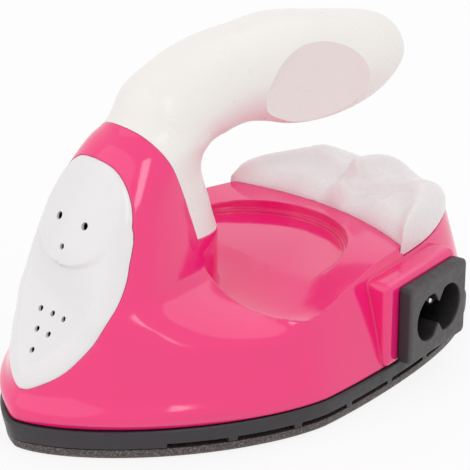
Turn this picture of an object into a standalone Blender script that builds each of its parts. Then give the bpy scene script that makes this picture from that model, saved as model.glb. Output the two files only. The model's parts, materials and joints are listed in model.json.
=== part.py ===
# Small travel iron: smooth sole, black heat ring, shell with tower and arched handle.
# Frame: nose toward -Y, heel toward +Y, up +Z, sole on z = 0, mirror plane x = 0.

import math

import bmesh
import bpy
from mathutils import Matrix, Vector

# Driving sizes in metres
SOLE_LENGTH = 0.1139
SOLE_WIDTH = 0.0689
OVERALL_HEIGHT = 0.0736
GAP = 0.0003
OVERCUT = 0.0200

# Sole and heat ring
SOLE_EDGE = 0.0022
SOLE_CHAMFER = 0.0013
PAD_TOP = 0.0045
PAD_CLEARANCE = 0.0012
PAD_Y = -0.05268 * SOLE_LENGTH
RING_TOP = 0.0063
RING_OVERHANG = 0.0005
RING_NOSE_OVERHANG = 0.0010
RING_SHELF = 0.0100
RING_LIP_TOP = 0.0086
RING_LIP_INSET = 0.0036
RING_LIP_NOSE_INSET = 0.0050
RING_LIP_WALL = 0.0014
SLOT_HEIGHT = 0.0009
SLOT_DEPTH = 0.0030
SLOT_LENGTH = 0.0120
SLOT_RIB = 0.0016
SLOT_START_Y = -0.33363 * SOLE_LENGTH
SLOT_END_Y = 0.43898 * SOLE_LENGTH

# Shell
SHELL_BASE = 0.0066
SHELL_WALL = 0.0020
NOSE_WALL = 0.0032
WAIST_Y = -0.13169 * SOLE_LENGTH
WAIST_BLEND = 0.05268 * SOLE_LENGTH
FLARE_START = 0.27174 * OVERALL_HEIGHT
FLARE_END = 0.42120 * OVERALL_HEIGHT
WALL_LEAN = 0.0050
LEAN_HEIGHT = 0.27853 * OVERALL_HEIGHT

# Deck, well and cover bed
WELL_RADIUS = 0.18701 * SOLE_LENGTH
WELL_Y = 0.02634 * SOLE_LENGTH
WELL_FRONT_Y = -0.04829 * SOLE_LENGTH
WELL_STEP_Z = 0.34511 * OVERALL_HEIGHT
WELL_STEP = 0.0009
WELL_FLOOR_Z = 0.33288 * OVERALL_HEIGHT
CLEAR_TOP_Z = 0.57065 * OVERALL_HEIGHT
COLUMN_CUT = 0.0003
COLUMN_CUT_LEVEL = 0.44837 * OVERALL_HEIGHT
BED_FRONT_Y = 0.24846 * SOLE_LENGTH
BED_CORNER_X = 0.41364 * SOLE_WIDTH
BED_CORNER_DROP = 0.08424 * OVERALL_HEIGHT

# Front plate
PLATE_CENTRE_Z = 0.46196 * OVERALL_HEIGHT
PLATE_PROUD = 0.0004
PLATE_THICKNESS = 0.0013
DOME_Z = 0.62772 * OVERALL_HEIGHT
DOME_WIDTH = 0.18142 * SOLE_WIDTH
DOME_HEIGHT = 0.15082 * OVERALL_HEIGHT
DOME_SOFTNESS = 0.0012
FACE_BOW = 0.0700
VENT_RADIUS = 0.0006
VENT_RISE_SHARE = 0.4
VENT_PITCH_X = 0.05080 * SOLE_WIDTH
VENT_ROW_Z = 0.34511 * OVERALL_HEIGHT
VENT_PITCH_Z = 0.04076 * OVERALL_HEIGHT
LAMP_VENT_RADIUS = 0.0008
LAMP_VENT_X = 0.05515 * SOLE_WIDTH
LAMP_VENT_Z = 0.58424 * OVERALL_HEIGHT
LAMP_VENT_LOW_Z = 0.52310 * OVERALL_HEIGHT

# Handle
SCOOP_DEPTH_X = 0.17417 * SOLE_WIDTH
SCOOP_LENGTH = 0.16155 * SOLE_LENGTH
SCOOP_HEIGHT = 0.34511 * OVERALL_HEIGHT
SCOOP_BOTTOM_X = 0.06821 * SOLE_WIDTH
SCOOP_Y = 0.12116 * SOLE_LENGTH
SCOOP_Z = 0.76087 * OVERALL_HEIGHT
SCOOP_TILT = math.radians(13.4)

# Rear cover
COVER_WALL = 0.0016
COVER_EDGE = 0.0004
COVER_LEVEL = 0.35734 * OVERALL_HEIGHT
PEG_RADIUS = 0.0015
PEG_DEPTH = 0.0022
PEG_X = 0.11611 * SOLE_WIDTH
PEG_Y = 0.37313 * SOLE_LENGTH
PEG_TOP_Z = 0.44022 * OVERALL_HEIGHT

# Mains inlet, figure-eight two-pin
INLET_X = 0.49637 * SOLE_WIDTH
INLET_Y = 0.22300 * SOLE_LENGTH
INLET_Z = 0.01515
INLET_YAW = math.radians(11.2)
INLET_WIDTH = 0.0215
INLET_HEIGHT = 0.0165
INLET_FLANGE = 0.0029
INLET_BODY_WIDTH = 0.0186
INLET_BODY_HEIGHT = 0.0126
INLET_BODY_DEPTH = 0.0150
INLET_BEVEL = 0.0010
LOBE_RADIUS = 0.0050
LOBE_SPACING = 0.0067
NOTCH_HALF = 0.0017
NOTCH_TIP = 0.0024
SOCKET_DEPTH = 0.0126
PIN_SPACING = 0.0086
PIN_RADIUS = 0.0012
PIN_TIP = 0.0041
PIN_TAIL = 0.0185
BOSS_FRONT = 0.0143
BOSS_REAR = 0.0118
BOSS_COVER = 0.0013
BOSS_TOP = INLET_Z + INLET_HEIGHT / 2 + BOSS_COVER
BOSS_DEPTH = 0.0070
BOSS_ROUND = 0.0016
RETAINER_DEPTH = 0.0105
RETAINER_WIDTH = 0.0205
RETAINER_HEIGHT = 0.0143
RETAINER_THICKNESS = 0.0016

# Heater and lamp
HEATER_LENGTH = 0.35119 * SOLE_LENGTH
HEATER_WIDTH = 0.26125 * SOLE_WIDTH
HEATER_HEIGHT = 0.0032
SHEET_HEIGHT = 0.0004
CLAMP_LENGTH = 0.26339 * SOLE_LENGTH
CLAMP_SHEET = 0.0012
CLAMP_FOOT = 0.0070
FUSE_RADIUS = 0.0018
FUSE_LENGTH = 0.0110
FUSE_X = -0.25 * HEATER_WIDTH
BOARD_WIDTH = 0.0130
BOARD_HEIGHT = 0.0100
BOARD_THICKNESS = 0.0012
BOARD_Y = -0.26602 * SOLE_LENGTH
BOARD_Z = 0.54891 * OVERALL_HEIGHT
LAMP_RADIUS = 0.0015
LAMP_LENGTH = 0.0052
LAMP_DROP = 0.0030
POST_RADIUS = 0.0024
WIRE_RADIUS = 0.0008

# Screws
SCREW_RADIUS = 0.0012
SCREW_HOLE = 0.0015
HEAD_RADIUS = 0.0023
HEAD_HEIGHT = 0.0018
HEAD_HOLE = 0.0027
DRIVE_RADIUS = 0.0009
DRIVE_DEPTH = 0.0009
BOSS_TUBE = 0.0036
SOLE_BOSS_RADIUS = 0.0034
SOLE_BOSS_TOP = 0.0066
POST_BASE = 0.0072
HEAD_SEAT_Z = 0.29212 * OVERALL_HEIGHT
NOSE_HEAD_SEAT_Z = 0.0130
REAR_SCREW_X = 0.23948 * SOLE_WIDTH
REAR_SCREW_Y = 0.33802 * SOLE_LENGTH
NOSE_SCREW_Y = -0.39947 * SOLE_LENGTH
SCREW_FLOOR = 0.0016
HANDLE_SCREW_REACH = 0.0062
LAMP_SCREW_REACH = 0.0040
HANDLE_SCREW_SEAT = 0.0030
HANDLE_SCREW_UPPER_Z = 0.67935 * OVERALL_HEIGHT
HANDLE_SCREW_LOWER_Z = 0.51359 * OVERALL_HEIGHT

# Plan outline: widest place, half lengths and curve powers
WIDEST_Y_SHARE = -0.0615
SOLE_FRONT_POWERS = (1.625, 1.464)
SOLE_REAR_POWERS = (1.35, 3.434)
TOWER_REAR_POWERS = (1.35, 2.0)
ARCH_REAR_POWERS = (1.5, 2.0)

# Height, nose place and the two curve powers of the front half
NOSE_SHARES = (
    (0.0883, -0.4990, 1.63, 1.47),
    (0.1223, -0.4964, 1.76, 1.66),
    (0.1630, -0.4840, 1.67, 1.62),
    (0.2174, -0.4783, 1.61, 1.61),
    (0.2717, -0.4631, 1.70, 1.70),
    (0.3261, -0.4409, 1.89, 1.89),
    (0.3804, -0.4229, 2.22, 2.22),
    (0.4484, -0.4004, 2.44, 2.44),
    (0.5163, -0.3845, 2.37, 2.37),
    (0.5978, -0.3720, 2.11, 2.11),
    (0.6793, -0.3500, 2.00, 2.00),
)

# Height, widest place, rear place, half width of the tower
TOWER_SHARES = (
    (0.2446, -0.2985, -0.0217, 0.2787),
    (0.2989, -0.2985, -0.0328, 0.2612),
    (0.3804, -0.2985, -0.0462, 0.2395),
    (0.4484, -0.2985, -0.0558, 0.2250),
    (0.5163, -0.2941, -0.0701, 0.2104),
    (0.5978, -0.2809, -0.0827, 0.1887),
)

# Outer point, inner point, share where the section is widest, half width
ARCH_SHARES = (
    (-0.3721, 0.5978, -0.0869, 0.5978, 0.3070, 0.1887),
    (-0.3400, 0.6803, -0.0958, 0.6455, 0.3400, 0.1727),
    (-0.2980, 0.7587, -0.0922, 0.6812, 0.4000, 0.1567),
    (-0.2400, 0.8069, -0.0791, 0.7042, 0.4500, 0.1466),
    (-0.2252, 0.8909, -0.0613, 0.7091, 0.4800, 0.1422),
    (-0.1688, 0.9415, -0.0451, 0.7113, 0.5000, 0.1408),
    (-0.1094, 0.9746, -0.0274, 0.7165, 0.5000, 0.1408),
    (-0.0496, 0.9915, -0.0044, 0.7206, 0.5000, 0.1422),
    (0.0176, 0.9981, 0.0230, 0.7194, 0.5000, 0.1451),
    (0.0837, 1.0056, 0.0699, 0.7024, 0.5000, 0.1509),
    (0.1397, 0.9962, 0.1137, 0.6805, 0.5000, 0.1553),
    (0.1896, 0.9808, 0.1624, 0.6680, 0.5000, 0.1553),
    (0.2406, 0.9664, 0.2152, 0.6646, 0.5000, 0.1509),
    (0.2901, 0.9516, 0.2680, 0.6725, 0.5000, 0.1437),
    (0.3347, 0.9354, 0.3187, 0.6921, 0.5000, 0.1292),
    (0.3684, 0.9120, 0.3593, 0.7276, 0.5000, 0.1060),
    (0.3880, 0.8692, 0.3848, 0.7773, 0.5000, 0.0668),
    (0.3974, 0.8367, 0.3964, 0.8117, 0.5000, 0.0232),
)

# Side view of the joint between tower and handle, nose to stem foot
SPLIT_SHARES = (
    (-0.5268, 0.8342),
    (-0.2897, 0.8207),
    (-0.2651, 0.8139),
    (-0.2502, 0.7962),
    (-0.2379, 0.7636),
    (-0.2248, 0.7201),
    (-0.2107, 0.6753),
    (-0.1975, 0.6277),
    (-0.1879, 0.5856),
    (-0.1791, 0.5435),
    (-0.1721, 0.5027),
    (-0.1677, 0.4742),
)

# Plan of the wall between deck and tower, side place and length place
SHOULDER_SHARES = (
    (0.2830, -0.1600),
    (0.3480, -0.1510),
    (0.4060, -0.1273),
    (0.4500, -0.0966),
    (0.4935, -0.0527),
    (0.5810, 0.0000),
)

# Side view of the deck and of the bed below the rear cover
DECK_SHARES = (
    (-0.1932, 0.3043),
    (-0.1229, 0.3030),
    (-0.0790, 0.3043),
    (-0.0439, 0.3111),
    (0.0000, 0.3261),
    (0.0439, 0.3438),
    (0.0878, 0.3587),
    (0.1317, 0.3682),
    (0.1844, 0.3709),
    (0.2634, 0.3709),
    (0.5619, 0.3709),
)
BED_SHARES = (
    (0.1405, 0.3438),
    (0.2107, 0.3424),
    (0.2809, 0.3424),
    (0.3336, 0.3492),
    (0.3775, 0.3587),
    (0.4214, 0.3655),
    (0.5619, 0.3668),
)

# Height and half width of the front plate
PLATE_SHARES = (
    (0.1671, 0.0000),
    (0.1739, 0.0319),
    (0.2065, 0.0900),
    (0.2310, 0.1205),
    (0.2582, 0.1422),
    (0.2989, 0.1669),
    (0.3383, 0.1829),
    (0.3804, 0.1959),
    (0.4253, 0.2017),
    (0.4688, 0.2017),
    (0.5095, 0.1959),
    (0.5503, 0.1887),
    (0.5910, 0.1771),
    (0.6495, 0.1538),
    (0.6943, 0.1205),
    (0.7228, 0.0813),
    (0.7351, 0.0406),
    (0.7385, 0.0000),
)

# Sunken middle of the front plate: height, half width, depth place on the mirror plane
VALLEY_SHARES = (
    (0.2230, 0.0050, -0.4790),
    (0.2473, 0.0435, -0.4627),
    (0.2663, 0.0682, -0.4513),
    (0.2894, 0.0914, -0.4381),
    (0.3179, 0.1161, -0.4214),
    (0.3465, 0.1321, -0.4065),
    (0.3750, 0.1451, -0.3951),
    (0.4103, 0.1509, -0.3881),
    (0.4443, 0.1524, -0.3854),
    (0.5163, 0.1538, -0.3770),
    (0.6000, 0.1538, -0.3560),
)

# Side view of the round dome on the front plate
FACE_SHARES = (
    (0.4783, -0.3951),
    (0.5231, -0.3828),
    (0.5842, -0.3617),
    (0.6522, -0.3371),
    (0.7337, -0.3100),
)

# Rear cover: side share from the middle, height of its crest, place of the crest
CREST_SHARES = (
    (0.00, 0.4959, 0.62),
    (0.09, 0.4850, 0.64),
    (0.17, 0.4570, 0.67),
    (0.25, 0.4620, 0.69),
    (0.33, 0.4680, 0.70),
    (0.45, 0.4590, 0.69),
    (0.58, 0.4480, 0.67),
    (0.80, 0.4280, 0.64),
    (0.92, 0.4060, 0.60),
    (1.00, 0.3840, 0.58),
)

# Rear cover: share of the way from front edge to crest, share of the rise
RISE_SHARES = (
    (0.00, 0.00),
    (0.06, 0.22),
    (0.18, 0.42),
    (0.32, 0.53),
    (0.46, 0.55),
    (0.60, 0.60),
    (0.76, 0.75),
    (0.90, 0.93),
    (1.00, 1.00),
)

LEVEL_SHARES = (
    0.0897,
    0.1155,
    0.1495,
    0.1902,
    0.2310,
    0.2582,
    0.2785,
    0.2989,
    0.3125,
    0.3261,
    0.3397,
    0.3533,
    0.3736,
    0.3940,
    0.4185,
)
UPPER_LEVEL_SHARES = (0.4260, 0.4480, 0.4890, 0.5430)
CAVITY_LEVEL_SHARES = (0.0700, 0.1155, 0.1902, 0.2582, 0.2989, 0.3261, 0.3533, 0.4185)
CAVITY_UPPER_SHARES = (0.4260, 0.4890, 0.5430)
STEM_LEVEL_SHARES = (0.4783, 0.5200, 0.5600)

# Sections along the arch, counted in rows of its table
SHELL_STATIONS = (0.0, 0.5, 1.0, 1.5, 2.0, 2.5, 3.0, 4.0)
CAVITY_STATIONS = (0.0, 1.0, 1.8)
HANDLE_STATIONS = (
    0.0, 0.5, 1.0, 1.5, 2.0, 2.5, 3.0, 3.5, 4.0, 4.5, 5.0, 6.0, 7.0, 8.0, 9.0,
    10.0, 11.0, 12.0, 13.0, 14.0, 15.0, 16.0, 17.0,
)

# Places of the rings across the front plate, its back and the steps over the cover
PLATE_RING_SHARES = (0.05, 0.15, 0.26, 0.37, 0.47, 0.56, 0.66, 0.77, 0.88)
PLATE_BACK_SHARES = (0.80, 0.60, 0.42, 0.24, 0.05)
PLATE_SEAT_SHARES = (0.05, 0.40, 0.70, 0.88, 1.00)
COVER_STEP_SHARES = (0.00, 0.06, 0.14, 0.25, 0.36, 0.48, 0.62, 0.78, 0.90, 1.00)
DECK_SIDE_SHARES = (
    0.00, 0.05, 0.10, 0.15, 0.19, 0.22, 0.25, 0.28, 0.31, 0.35, 0.40, 0.48, 0.56, 0.66, 0.76,
    0.88, 1.00,
)

# Colour, roughness and metallic of each material
FINISHES = {
    "shell_pink": ((0.93, 0.08, 0.25, 1.0), 0.18, 0.0),
    "handle_white": ((0.87, 0.85, 0.82, 1.0), 0.30, 0.0),
    "plate_white": ((0.88, 0.87, 0.88, 1.0), 0.25, 0.0),
    "cover_white": ((0.86, 0.83, 0.84, 1.0), 0.28, 0.0),
    "ring_black": ((0.045, 0.043, 0.046, 1.0), 0.45, 0.0),
    "inlet_black": ((0.09, 0.088, 0.09, 1.0), 0.40, 0.0),
    "sole_metal": ((0.15, 0.125, 0.12, 1.0), 0.38, 0.8),
    "bright_metal": ((0.72, 0.72, 0.70, 1.0), 0.25, 1.0),
    "strap_steel": ((0.50, 0.50, 0.50, 1.0), 0.35, 1.0),
    "ceramic_grey": ((0.55, 0.53, 0.48, 1.0), 0.70, 0.0),
    "sheet_amber": ((0.60, 0.30, 0.06, 1.0), 0.35, 0.0),
    "board_green": ((0.04, 0.20, 0.08, 1.0), 0.50, 0.0),
    "lamp_red": ((0.75, 0.04, 0.03, 1.0), 0.15, 0.0),
    "fuse_sleeve": ((0.75, 0.72, 0.65, 1.0), 0.60, 0.0),
    "wire_brown": ((0.22, 0.08, 0.03, 1.0), 0.55, 0.0),
    "wire_blue": ((0.05, 0.12, 0.45, 1.0), 0.55, 0.0),
}

FRONT_POINTS = 14
REAR_POINTS = 12
CAVITY_FRONT_POINTS = 9
CAVITY_REAR_POINTS = 8
HANDLE_POINTS = 11
ROUND_SEGMENTS = 24
SMALL_SEGMENTS = 16
VENT_SEGMENTS = 10
HEEL_POINTS = 401
COVER_COLUMNS = 29
COVER_REACH_SHARE = 0.965


def smooth(share):
    share = min(1.0, max(0.0, share))
    return share * share * (3.0 - 2.0 * share)


def interpolate(rows, key):
    # Smooth curve through the rows of a table, read at its first column
    if key <= rows[0][0]:
        return rows[0][1:]
    if key >= rows[-1][0]:
        return rows[-1][1:]
    last = len(rows) - 1
    i = max(n for n in range(last) if rows[n][0] <= key)
    span = rows[i + 1][0] - rows[i][0]
    t = (key - rows[i][0]) / span
    before = rows[max(i - 1, 0)]
    after = rows[min(i + 2, last)]
    values = []
    for a, b, c, d in zip(before[1:], rows[i][1:], rows[i + 1][1:], after[1:]):
        slope_b = (c - a) / (rows[i + 1][0] - before[0]) * span
        slope_c = (d - b) / (after[0] - rows[i][0]) * span
        h = t * t * (3.0 - 2.0 * t)
        tangents = slope_b * t * (1.0 - t) ** 2 - slope_c * t * t * (1.0 - t)
        values.append(b + (c - b) * h + tangents)
    return values


def smooth_path(points, steps):
    path = []
    rows = [(float(i), *point) for i, point in enumerate(points)]
    for i in range(len(points) - 1):
        for k in range(steps):
            path.append(tuple(interpolate(rows, i + k / steps)))
    path.append(tuple(points[-1]))
    return path


def resample(points, count):
    # Evenly spaced points along an open line
    lengths = [0.0]
    for a, b in zip(points, points[1:]):
        lengths.append(lengths[-1] + math.dist(a, b))
    result = []
    k = 0
    for i in range(count):
        target = lengths[-1] * i / (count - 1)
        while k < len(points) - 2 and lengths[k + 1] < target:
            k += 1
        span = lengths[k + 1] - lengths[k]
        t = (target - lengths[k]) / span if span else 0.0
        result.append(tuple(a + (b - a) * t for a, b in zip(points[k], points[k + 1])))
    return result


def curve_share(t, powers):
    t = min(1.0, max(0.0, t))
    return (1.0 - t ** powers[0]) ** (1.0 / powers[1])


def sole_half_width(y, grow=0.0, nose_grow=None):
    middle = WIDEST_Y_SHARE * SOLE_LENGTH
    nose = -SOLE_LENGTH / 2 - (grow if nose_grow is None else nose_grow)
    heel = SOLE_LENGTH / 2 + grow
    half = SOLE_WIDTH / 2 + grow
    if y < middle:
        return half * curve_share((middle - y) / (middle - nose), SOLE_FRONT_POWERS)
    return half * curve_share((y - middle) / (heel - middle), SOLE_REAR_POWERS)


def front_powers(z):
    return interpolate(NOSE_SHARES, z / OVERALL_HEIGHT)[1:]


def nose_y(z):
    return interpolate(NOSE_SHARES, z / OVERALL_HEIGHT)[0] * SOLE_LENGTH


def wall_inset(z):
    return WALL_LEAN * max(0.0, (z - SHELL_BASE) / LEAN_HEIGHT) ** 1.2


def wall_half_width(y, z, grow):
    middle = WIDEST_Y_SHARE * SOLE_LENGTH
    nose = nose_y(z) - nose_grow(grow)
    heel = SOLE_LENGTH / 2 - wall_inset(z) + grow
    half = SOLE_WIDTH / 2 - wall_inset(z) + grow
    if y < middle:
        return half * curve_share((middle - y) / (middle - nose), front_powers(z))
    return half * curve_share((y - middle) / (heel - middle), SOLE_REAR_POWERS)


def nose_grow(grow):
    return grow * NOSE_WALL / SHELL_WALL


def tower_row(z):
    middle, rear, half = interpolate(TOWER_SHARES, z / OVERALL_HEIGHT)
    return middle * SOLE_LENGTH, rear * SOLE_LENGTH, half * SOLE_WIDTH


def tower_half_width(y, z, grow):
    middle, rear, half = tower_row(z)
    nose = nose_y(z) - nose_grow(grow)
    half = half + grow
    if y < middle:
        return half * curve_share((middle - y) / (middle - nose), front_powers(z))
    return half * curve_share((y - middle) / (rear + grow - middle), TOWER_REAR_POWERS)


def flare(z):
    return 1.0 - smooth((z - FLARE_START) / (FLARE_END - FLARE_START))


def shell_half_width(y, z, grow=0.0):
    wall = wall_half_width(y, z, grow)
    tower = tower_half_width(y, z, grow)
    bell = tower + (wall - tower) * flare(z)
    behind = smooth((y - WAIST_Y) / WAIST_BLEND)
    return bell + (wall - bell) * behind


def mirror_half(half):
    # Closed ring from the half on the +X side, first and last point on the mirror plane
    other = [(-x, y, z) for x, y, z in reversed(half[1:-1])]
    return [Vector(point) for point in half + other]


def full_level(z, grow, front_count, rear_count, dense=160):
    nose = nose_y(z) - nose_grow(grow)
    heel = SOLE_LENGTH / 2 - wall_inset(z) + grow
    front = []
    rear = []
    for i in range(dense + 1):
        y = WAIST_Y + (nose - WAIST_Y) * math.cos(math.pi / 2 * i / dense)
        front.append((0.0 if i == 0 else shell_half_width(y, z, grow), y))
        y = WAIST_Y + (heel - WAIST_Y) * math.sin(math.pi / 2 * i / dense)
        rear.append((0.0 if i == dense else shell_half_width(y, z, grow), y))
    half = resample(front, front_count) + resample(rear, rear_count)[1:]
    return mirror_half([(x, y, z) for x, y in half])


def section_half(height, widest, half, powers, share):
    # Half width of a tower or handle section, share 0 at the outer point
    if share < widest:
        return half * curve_share((widest - share) / widest, front_powers(height))
    return half * curve_share((share - widest) / (1.0 - widest), powers)


def section_ring(outer, inner, widest, half, powers, counts, split, dense=160):
    front = []
    rear = []
    for i in range(dense + 1):
        t = split * (1.0 - math.cos(math.pi / 2 * i / dense))
        x = section_half(outer[1], widest, half, powers, t)
        front.append((0.0 if i == 0 else x, t))
        t = split + (1.0 - split) * math.sin(math.pi / 2 * i / dense)
        x = section_half(outer[1], widest, half, powers, t)
        rear.append((0.0 if i == dense else x, t))
    reach = math.dist(outer, inner)
    front = resample([(x, t * reach) for x, t in front], counts[0])
    rear = resample([(x, t * reach) for x, t in rear], counts[1])
    points = []
    for x, t in front + rear[1:]:
        share = t / reach
        y = outer[0] + (inner[0] - outer[0]) * share
        z = outer[1] + (inner[1] - outer[1]) * share
        points.append((x, y, z))
    return mirror_half(points)


def tower_ring(z, grow, counts):
    middle, rear, half = tower_row(z)
    nose = nose_y(z) - nose_grow(grow)
    rear = rear + grow
    widest = (middle - nose) / (rear - nose)
    split = (WAIST_Y - nose) / (rear - nose)
    ends = ((nose, z), (rear, z))
    return section_ring(*ends, widest, half + grow, TOWER_REAR_POWERS, counts, split)


def arch_row(station):
    rows = [(float(i), *row) for i, row in enumerate(ARCH_SHARES)]
    y0, z0, y1, z1, widest, half = interpolate(rows, station)
    outer = (y0 * SOLE_LENGTH, z0 * OVERALL_HEIGHT)
    inner = (y1 * SOLE_LENGTH, z1 * OVERALL_HEIGHT)
    return outer, inner, widest, half * SOLE_WIDTH


def arch_ring(station, grow, counts):
    outer, inner, widest, half = arch_row(station)
    reach = math.dist(outer, inner)
    step = tuple((b - a) / reach * grow for a, b in zip(outer, inner))
    outer = tuple(a - s * NOSE_WALL / SHELL_WALL for a, s in zip(outer, step))
    inner = tuple(b + s for b, s in zip(inner, step))
    return section_ring(outer, inner, widest, half + grow, ARCH_REAR_POWERS, counts, 0.7)


def surface_y(x, z):
    # Place of the nose surface at a side distance and a height
    x = abs(x)
    if z <= ARCH_SHARES[0][1] * OVERALL_HEIGHT:
        low = nose_y(z)
        high = tower_row(z)[0]
        for _ in range(30):
            y = (low + high) / 2
            if shell_half_width(y, z) < x:
                low = y
            else:
                high = y
        return high
    low = 0.0
    high = 6.0
    for _ in range(30):
        station = (low + high) / 2
        outer, inner, widest, half = arch_row(station)
        p, q = front_powers(outer[1])
        share = widest - widest * (1.0 - min(1.0, x / half) ** q) ** (1.0 / p)
        if outer[1] + (inner[1] - outer[1]) * share < z:
            low = station
        else:
            high = station
    return outer[0] + (inner[0] - outer[0]) * share


def split_path(steps=3):
    rows = [(y * SOLE_LENGTH, z * OVERALL_HEIGHT) for y, z in SPLIT_SHARES]
    return smooth_path(rows, steps)


def split_point(z):
    # Point on the joint between tower and handle, and the way from it into the handle
    path = split_path()
    i = next(n for n in range(len(path)) if path[n][1] < z)
    (y0, z0), (y1, z1) = path[i - 1], path[i]
    y = y0 + (y1 - y0) * (z0 - z) / (z0 - z1)
    into_handle = Vector((0.0, z0 - z1, y1 - y0)).normalized()
    return Vector((0.0, y, z)), into_handle


def deck_z(y):
    return interpolate(DECK_SHARES, y / SOLE_LENGTH)[0] * OVERALL_HEIGHT


def bed_z(y):
    return interpolate(BED_SHARES, y / SOLE_LENGTH)[0] * OVERALL_HEIGHT


def bed_front_y(x):
    return BED_FRONT_Y - BED_CORNER_DROP * (x / BED_CORNER_X) ** 2


def deck_front_y(x):
    # Plan of the wall behind the tower, wrapped round the column under the handle
    x = abs(x)
    middle, rear, half = tower_row(COLUMN_CUT_LEVEL)
    inside = min(1.0, x / half)
    share = (1.0 - inside ** TOWER_REAR_POWERS[1]) ** (1.0 / TOWER_REAR_POWERS[0])
    column = middle + (rear - middle) * share - COLUMN_CUT
    shoulder = interpolate(SHOULDER_SHARES, x / SOLE_WIDTH)[0] * SOLE_LENGTH
    return max(column, shoulder)


# Blender helpers


def clear_scene():
    for obj in list(bpy.data.objects):
        bpy.data.objects.remove(obj, do_unlink=True)


def make_collection(name):
    found = bpy.data.collections.get(name)
    if found is None:
        found = bpy.data.collections.new(name)
        bpy.context.scene.collection.children.link(found)
    return found


def make_material(name):
    colour, roughness, metallic = FINISHES[name]
    found = bpy.data.materials.get(name)
    if found is None:
        found = bpy.data.materials.new(name)
        found.use_nodes = True
        shader = found.node_tree.nodes["Principled BSDF"]
        shader.inputs["Base Color"].default_value = colour
        shader.inputs["Roughness"].default_value = roughness
        shader.inputs["Metallic"].default_value = metallic
        found.diffuse_color = colour
    return found


def add_object(name, mesh, finish=None):
    obj = bpy.data.objects.new(name, mesh)
    for face in mesh.polygons:
        face.use_smooth = True
    if finish is None:
        make_collection("cutters").objects.link(obj)
        obj.hide_render = True
        obj.display_type = "WIRE"
    else:
        make_collection("travel_iron").objects.link(obj)
        mesh.materials.append(make_material(finish))
    return obj


def finish_mesh(name, bm, finish):
    bmesh.ops.recalc_face_normals(bm, faces=bm.faces)
    mesh = bpy.data.meshes.new(name)
    bm.to_mesh(mesh)
    bm.free()
    return add_object(name, mesh, finish)


def loft(name, rings, finish=None):
    bm = bmesh.new()
    loops = [[bm.verts.new(point) for point in ring] for ring in rings]
    count = len(loops[0])
    for a, b in zip(loops, loops[1:]):
        for i in range(count):
            j = (i + 1) % count
            bm.faces.new((a[i], a[j], b[j], b[i]))
    bm.faces.new(loops[0])
    bm.faces.new(loops[-1])
    return finish_mesh(name, bm, finish)


def place(bm, matrix):
    bmesh.ops.transform(bm, matrix=matrix, verts=bm.verts)


def box(name, size, centre, finish=None, turn=None, bevel=0.0):
    bm = bmesh.new()
    bmesh.ops.create_cube(bm, size=1.0)
    place(bm, Matrix.Diagonal((*size, 1.0)))
    if bevel:
        bmesh.ops.bevel(bm, geom=bm.edges, offset=bevel, segments=2, profile=0.5, affect="EDGES")
    if turn is not None:
        place(bm, turn)
    place(bm, Matrix.Translation(centre))
    return finish_mesh(name, bm, finish)


def aimed(direction):
    return Vector(direction).to_track_quat("Z", "Y").to_matrix().to_4x4()


def rod(name, radius, start, end, finish=None, segments=ROUND_SEGMENTS):
    start = Vector(start)
    end = Vector(end)
    bm = bmesh.new()
    depth = (end - start).length
    bmesh.ops.create_cone(
        bm, cap_ends=True, segments=segments, radius1=radius, radius2=radius, depth=depth
    )
    place(bm, Matrix.Translation((start + end) / 2) @ aimed(end - start))
    return finish_mesh(name, bm, finish)


def turned(name, profile, start, direction, finish=None, segments=SMALL_SEGMENTS):
    # Solid of revolution from pairs of radius and distance along the axis
    rings = []
    turn = Matrix.Translation(start) @ aimed(direction)
    for radius, distance in profile:
        ring = []
        for i in range(segments):
            angle = math.tau * i / segments
            ring.append(
                turn @ Vector((radius * math.cos(angle), radius * math.sin(angle), distance))
            )
        rings.append(ring)
    return loft(name, rings, finish)


def prism(name, outline, low, high, axis, finish=None):
    # Closed outline swept between two places on an axis
    rings = []
    for place_on_axis in (low, high):
        if axis == "X":
            rings.append([Vector((place_on_axis, a, b)) for a, b in outline])
        elif axis == "Y":
            rings.append([Vector((a, place_on_axis, b)) for a, b in outline])
        else:
            rings.append([Vector((a, b, place_on_axis)) for a, b in outline])
    return loft(name, rings, finish)


def combine(target, other, operation):
    modifier = target.modifiers.new(operation.lower(), "BOOLEAN")
    modifier.operation = operation
    modifier.solver = "EXACT"
    modifier.object = other
    return target


def cut(target, other):
    return combine(target, other, "DIFFERENCE")


def join(target, other):
    return combine(target, other, "UNION")


def wire(name, points, finish):
    curve = bpy.data.curves.new(name, "CURVE")
    curve.dimensions = "3D"
    curve.bevel_depth = WIRE_RADIUS
    curve.bevel_resolution = 2
    curve.use_fill_caps = True
    spline = curve.splines.new("POLY")
    path = smooth_path(points, 4)
    spline.points.add(len(path) - 1)
    for point, where in zip(spline.points, path):
        point.co = (*where, 1.0)
    guide = bpy.data.objects.new(name + "_guide", curve)
    make_collection("cutters").objects.link(guide)
    bpy.context.view_layer.update()
    mesh = bpy.data.meshes.new_from_object(guide.evaluated_get(bpy.context.evaluated_depsgraph_get()))
    bpy.data.objects.remove(guide, do_unlink=True)
    bm = bmesh.new()
    bm.from_mesh(mesh)
    bpy.data.meshes.remove(mesh)
    bmesh.ops.remove_doubles(bm, verts=bm.verts, dist=WIRE_RADIUS / 100)
    return finish_mesh(name, bm, finish)


# Sole and ring


def sole_ring(z, grow, count=30, nose=None, dense=160):
    tip = -SOLE_LENGTH / 2 - (grow if nose is None else nose)
    heel = SOLE_LENGTH / 2 + grow
    middle = WIDEST_Y_SHARE * SOLE_LENGTH
    line = []
    for i in range(dense + 1):
        y = middle + (tip - middle) * math.cos(math.pi / 2 * i / dense)
        line.append((0.0 if i == 0 else sole_half_width(y, grow, nose), y))
    for i in range(1, dense + 1):
        y = middle + (heel - middle) * math.sin(math.pi / 2 * i / dense)
        line.append((0.0 if i == dense else sole_half_width(y, grow, nose), y))
    return mirror_half([(x, y, z) for x, y in resample(line, count)])


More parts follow.
